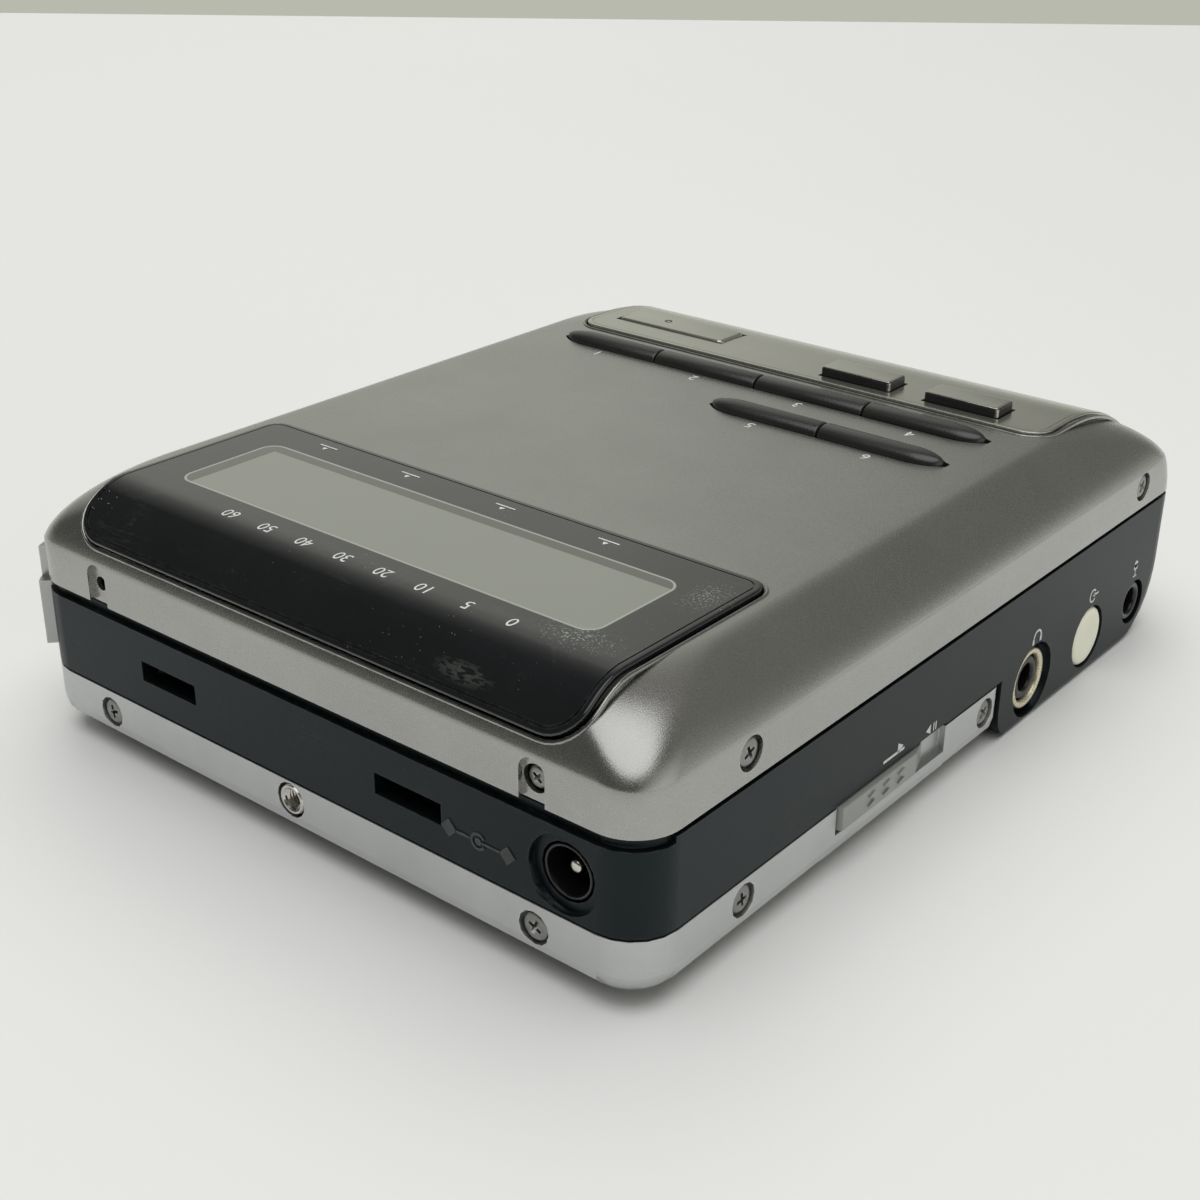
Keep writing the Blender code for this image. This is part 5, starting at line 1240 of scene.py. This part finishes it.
def placeMark(bm, name, finish, body, origin, across, up, thick=None, bend=None):
    # thicken a flat mark and set it on a plane, or over a bent line where bend is given
    bmesh.ops.remove_doubles(bm, verts=bm.verts, dist=1e-7)
    bmesh.ops.recalc_face_normals(bm, faces=bm.faces)
    for face in bm.faces:
        if face.normal.z < 0:
            face.normal_flip()
    thicken(bm, (0, 0, thick or signs["thick"]))
    if bend:
        line, along, lift = bend
        for vert in bm.verts:
            y, z, ny, nz = onLine(line, along + vert.co.y)
            height = lift + vert.co.z
            vert.co = (origin[0] + vert.co.x, y + ny * height, z + nz * height)
    else:
        normal = Vector(across).cross(Vector(up))
        matrix = Matrix((across, up, normal)).transposed().to_4x4()
        bmesh.ops.transform(bm, matrix=Matrix.Translation(origin) @ matrix, verts=bm.verts)
    settle(bm, name, finish, body)


def makeSigns():
    flat = ((1, 0, 0), (0, 1, 0))
    rest = signs["rest"]
    # plain numbers beside the keys of the two rows
    number = 0
    for rowY, start, end, count in rowEnds().values():
        for index in range(count):
            number += 1
            x = start - (start - end) / count * (index + 0.5)
            placeMark(textMark(str(number), signs["numberSize"]), f"keyNumber{number}", "printWhite", "case",
                      (x, rowY + signs["numberAway"], caseTop + rest), *flat)
    # a plain scale along the window, and ticks on its far side
    for index, text in enumerate(("60", "50", "40", "30", "20", "10", "5", "0")):
        x = signs["scaleStart"] - signs["scalePitch"] * index
        placeMark(textMark(text, signs["scaleSize"]), f"scaleNumber{index + 1}", "printWhite", "case",
                  (x, 0, 0), None, None,
                  bend=(windowLine, windowLine[-1][4] * signs["scaleAlong"], windowShape["lift"] + rest))
    for index, x in enumerate(signs["ticks"]):
        placeMark(flatMark(tickMark), f"windowTick{index + 1}", "printWhite", "case",
                  (x, signs["tickY"], caseTop + windowShape["lift"] + rest), *flat)
    for name, (y, z, shapes) in sideMarks.items():
        placeMark(flatMark(shapes), name, "printWhite", "case", (-halfWidth - rest, y, z), (0, -1, 0),
                  (0, 0, 1))
    # raised sign of the socket's poles
    x, z = signs["poles"]
    placeMark(flatMark(polesMark), "polesSign", "frameRelief", "case", (x, halfDepth + rest, z), (-1, 0, 0),
              (0, 0, 1), signs["polesThick"])
    longKey = plateKeys["key_long"]
    spot = (signs["longKeyX"], (longKey["near"] + longKey["far"]) / 2, caseTop + longKey["rise"] + rest)
    placeMark(flatMark((("arc", 0, 0, 0.0004, 0.0006, 0, 360, 20),)), "longKeySign", "printDark",
              "key_long_body", spot, *flat)
    middle, along, normal = slopeFrame()
    lift = plateShape["lift"] + slopeKeys["rise"] + rest
    for index, name in enumerate(slopeKeys["names"]):
        origin = Vector((firstSlopeKey + slopeKeys["pitch"] * index, 0, 0)) + middle + normal * lift
        placeMark(flatMark(slopeMarks[name]), name + "Sign", "printWhite", name + "_body", origin,
                  (1, 0, 0), along)


# camera, light and ground

stageLook = {
    "lens": 52.993, "place": (-0.1320206, 0.1719030, 0.1130852), "turn": (0.6816757, 0.4470280, 0.0104692),
    "key": 1.1, "fill": 1.55, "westGlow": 0.8,
    "wallSweep": (-0.50, -0.15, 0.18, 0.58),    # from, to, dim, bright
    "southDim": 0.12,
    "wallTint": (1.0, 1.02, 0.92, 1), "wallTop": (0.70, 0.90), "horizon": (0.474, 0.491, 0.413, 1),
    "warmCeiling": (0.175, 0.165, 0.145, 1), "coolCeiling": (0.055, 0.060, 0.075, 1),
    "tableReach": 0.87, "table": (0.80, 0.80, 0.79, 1), "tableDrift": (0.83, 0.83, 0.82, 1),
}


def makeStage():
    scene = bpy.context.scene
    scene.view_settings.view_transform = "Standard"
    cameraData = bpy.data.cameras.new("photoCamera")
    cameraData.lens = stageLook["lens"]
    cameraData.sensor_width = 36.0
    cameraData.clip_start = 0.01
    camera = bpy.data.objects.new("photoCamera", cameraData)
    scene.collection.objects.link(camera)
    yaw, pitch, roll = stageLook["turn"]
    ahead = Vector((sin(yaw) * cos(pitch), -cos(yaw) * cos(pitch), -sin(pitch)))
    right = ahead.cross(Vector((0, 0, 1))).normalized()
    up = right.cross(ahead)
    turn = Matrix((right, up, -ahead)).transposed()
    camera.rotation_euler = (turn @ Matrix.Rotation(roll, 3, "Z")).to_euler()
    camera.location = stageLook["place"]
    scene.camera = camera

    def addSun(name, way, strength, spread, tint, glossy):
        data = bpy.data.lights.new(name, "SUN")
        data.energy = strength
        data.angle = radians(spread)
        data.color = tint
        lamp = bpy.data.objects.new(name, data)
        scene.collection.objects.link(lamp)
        lamp.rotation_euler = Vector(way).to_track_quat("Z", "Y").to_euler()
        lamp.visible_glossy = glossy

    addSun("ceilingSoftbox", (-0.11, 0.24, 0.96), stageLook["key"], 60, (1.0, 1.0, 1.0), True)
    addSun("roomFill", (0.10, -0.25, 0.96), stageLook["fill"], 80, (1.0, 1.0, 0.99), False)

    world = bpy.data.worlds.new("studio")
    scene.world = world
    world.use_nodes = True
    tree = world.node_tree
    background = tree.nodes["Background"]
    coordinates = addNode(tree, "ShaderNodeTexCoord")
    split = addNode(tree, "ShaderNodeSeparateXYZ")
    tree.links.new(coordinates.outputs["Generated"], split.inputs[0])
    east, north, up = split.outputs
    turned = doMath(tree, "ADD", doMath(tree, "MULTIPLY", east, 0.66), doMath(tree, "MULTIPLY", north, 0.75))
    bright = remap(tree, turned, *stageLook["wallSweep"])
    bright = doMath(tree, "MULTIPLY", bright, remap(tree, north, -0.45, 0.0, 1.0, stageLook["southDim"]))
    west = remap(tree, east, -0.62, -0.92, 0.0, stageLook["westGlow"])
    bright = doMath(tree, "MAXIMUM", bright, west)
    wall = mixColour(tree, bright, (0, 0, 0, 1), stageLook["wallTint"])
    ceiling = mixColour(tree, remap(tree, north, -0.6, 0.5), stageLook["warmCeiling"],
                        stageLook["coolCeiling"])
    wall = mixColour(tree, remap(tree, up, 0.02, 0.11), stageLook["horizon"], wall)
    climb = remap(tree, up, *stageLook["wallTop"])
    tree.links.new(mixColour(tree, climb, wall, ceiling), background.inputs["Color"])
    background.inputs["Strength"].default_value = 1.0

    bm = bmesh.new()
    bmesh.ops.create_grid(bm, x_segments=2, y_segments=2, size=2)
    heading = Vector((sin(yaw), -cos(yaw), 0))
    middle = camera.location + heading * (stageLook["tableReach"] - 2)
    place = Matrix.Translation((middle.x, middle.y, -0.00005)) @ Matrix.Rotation(yaw, 4, "Z")
    bmesh.ops.transform(bm, matrix=place, verts=bm.verts)
    floor = settle(bm, "tableTop", None, None)
    material = bpy.data.materials.new("tableWhite")
    material.use_nodes = True
    tree = material.node_tree
    shader = tree.nodes["Principled BSDF"]
    tree.links.new(mixColour(tree, cloud(tree, 3.0), stageLook["table"], stageLook["tableDrift"]),
                   shader.inputs["Base Color"])
    shader.inputs["Roughness"].default_value = 0.5
    floor.data.materials.append(material)


# gloss of the window and its marks
windowMarks = (
    {"place": (-0.0315, 0.0512, 0.0325), "reach": (0.0075, 0.0042, 0.0040),
     "scale": (4600.0, 4600.0, 4600.0), "share": 0.55, "from": 0.580},
    {"place": (-0.0358, 0.0355, 0.0335), "reach": (0.0040, 0.0060, 0.0040),
     "scale": (4200.0, 4200.0, 4200.0), "share": 0.45, "from": 0.590},
    {"place": (-0.0236, 0.0586, 0.0298), "reach": (0.0060, 0.0022, 0.0016),
     "scale": (900.0, 3200.0, 3200.0), "share": 0.20, "from": 0.43},
)
# the clear panel in the window, in metres from the middle of the case, and the colours of its parts: the edge
# glint is a painted highlight along its edge, the shade strip a painted shadow inside its +X end and -Y side
panelLook = {"centre": (0.0003, 0.0424), "half": (0.0325, 0.0077), "radius": 0.0022, "soft": 0.00003,
             "edgeGlint": (-0.00032, -0.00026), "shadeStripX": (-0.0024, -0.0022), "shadeStripY": (0.0020, 0.0018),
             "clearColour": (0.225, 0.235, 0.200, 1), "shadeStripColour": (0.085, 0.088, 0.074, 1),
             "edgeGlintColour": (0.34, 0.35, 0.31, 1), "markColour": (0.42, 0.44, 0.40, 1),
             "coat": 0.6, "coatRough": 0.03}


def spotMask(tree, spot):
    # a patch of specks or a greasy smear that thins out round its middle
    centred = addNode(tree, "ShaderNodeMapping")
    centred.inputs["Location"].default_value = [-a / b for a, b in zip(spot["place"], spot["reach"])]
    centred.inputs["Scale"].default_value = [1 / b for b in spot["reach"]]
    tree.links.new(objectPlace(tree), centred.inputs["Vector"])
    away = addNode(tree, "ShaderNodeVectorMath", operation="LENGTH")
    tree.links.new(centred.outputs[0], away.inputs[0])
    near = remap(tree, away.outputs["Value"], 0.0, 1.0, 1.0, 0.0)
    noise = cloud(tree, 1.0, 3.0, spot["scale"])
    specks = remap(tree, doMath(tree, "ADD", noise, doMath(tree, "MULTIPLY", near, 0.12)),
                   spot["from"] + 0.06, spot["from"] + 0.12)
    return doMath(tree, "MULTIPLY", doMath(tree, "MULTIPLY", specks, near), spot["share"] * 1.6, True)


def makeWindowGloss():
    # black gloss with the clear part painted in: a soft grey-green panel, with a painted highlight along its
    # edge and a painted shadow strip inside its +X end and -Y side, where the wall of its recess would be in
    # shade
    look = {"colour": (0.006, 0.007, 0.008), "drift": (0.010, 0.011, 0.012), "worn": (0.22, 0.22, 0.21),
            "wear": 0.10, "dust": 0.30, "scratch": 0.08, "rough": (0.05, 0.08), "grainScale": 2500.0,
            "bump": 0.01, "flake": 0.05}
    material, tree, shader, colour = finishBase("windowGloss", look)
    place = addNode(tree, "ShaderNodeSeparateXYZ")
    tree.links.new(objectPlace(tree), place.inputs[0])
    centre, half, radius = panelLook["centre"], panelLook["half"], panelLook["radius"]
    sides = []
    for axis in (0, 1):
        away = doMath(tree, "ABSOLUTE", doMath(tree, "SUBTRACT", place.outputs[axis], centre[axis]))
        sides.append(doMath(tree, "SUBTRACT", away, half[axis] - radius))
    outs = [doMath(tree, "MAXIMUM", side, 0.0) for side in sides]
    squares = [doMath(tree, "MULTIPLY", out, out) for out in outs]
    reach = doMath(tree, "SQRT", doMath(tree, "ADD", squares[0], squares[1]))
    inside = doMath(tree, "MINIMUM", doMath(tree, "MAXIMUM", sides[0], sides[1]), 0.0)
    distance = doMath(tree, "SUBTRACT", doMath(tree, "ADD", reach, inside), radius)
    panel = remap(tree, distance, panelLook["soft"], -panelLook["soft"])
    # painted highlight: a light ring along the panel's edge
    edgeGlint = remap(tree, distance, *panelLook["edgeGlint"])
    # painted shadow: a dark strip inside the panel's +X end and -Y side
    shadeStripFromX = remap(tree, place.outputs[0], *[centre[0] + half[0] + step for step in panelLook["shadeStripX"]])
    shadeStripFromY = remap(tree, place.outputs[1], *[centre[1] - half[1] + step for step in panelLook["shadeStripY"]])
    shadeStrip = doMath(tree, "MAXIMUM", shadeStripFromX, shadeStripFromY)
    panelWithShade = mixColour(tree, shadeStrip, panelLook["clearColour"], panelLook["shadeStripColour"])
    body = mixColour(tree, panel, colour, mixColour(tree, edgeGlint, panelWithShade, panelLook["edgeGlintColour"]))
    for spot in windowMarks:
        body = mixColour(tree, spotMask(tree, spot), body, panelLook["markColour"])
    tree.links.new(body, shader.inputs["Base Color"])
    shader.inputs["Coat Weight"].default_value = panelLook["coat"]
    shader.inputs["Coat Roughness"].default_value = panelLook["coatRough"]
    return material


materials["windowGloss"] = makeWindowGloss()
makeWindow()
makeBead("windowBead", windowLine, windowShape)
makeBead("plateBead", plateLine, plateShape)
makePlate()
makePlateKeys()
makeRowKeys()
print("window, plate and keys made")
makeScrews()
makeSockets()
makeInsert()
makeKnob()
print("screws, sockets and knob made")
makeFrame()
makeMergedPieces()
makeSigns()
print("frame, tray, door, battery lid and signs made")

# finishes of the solids that stay as they are
nodeFinish = {
    "lcd_panel": "plugCream",
    "control_board": "boardGreen", "main_board": "boardGreen", "door_pin": "brightSteel",
    "guide_rod_left": "brightSteel", "guide_rod_right": "brightSteel", "lead_screw": "brightSteel",
    "mech_chassis": "rawSheet", "disc_holder": "rawSheet", "head_arm": "rawSheet",
    "spindle_motor": "motorCan", "sled_motor": "motorCan",
    "turntable": "gearBlack", "pickup_sled": "gearBlack", "objective_lens": "objectiveBlue",
    "foot_left": "rubberFoot", "foot_right": "rubberFoot", "battery_pack": "batteryWrap",
    "battery_contact_left": "goldContact", "battery_contact_right": "goldContact",
}
for node, finish in nodeFinish.items():
    mesh = nodes[node].data
    if not mesh.materials:
        mesh.materials.append(None)
    for index in range(len(mesh.materials)):
        nodes[node].material_slots[index].material = materials[finish]
unfinished = [name for name, item in nodes.items() if name not in nodeFinish and not item.hide_render]
print("solids without a finish:", unfinished)

makeStage()
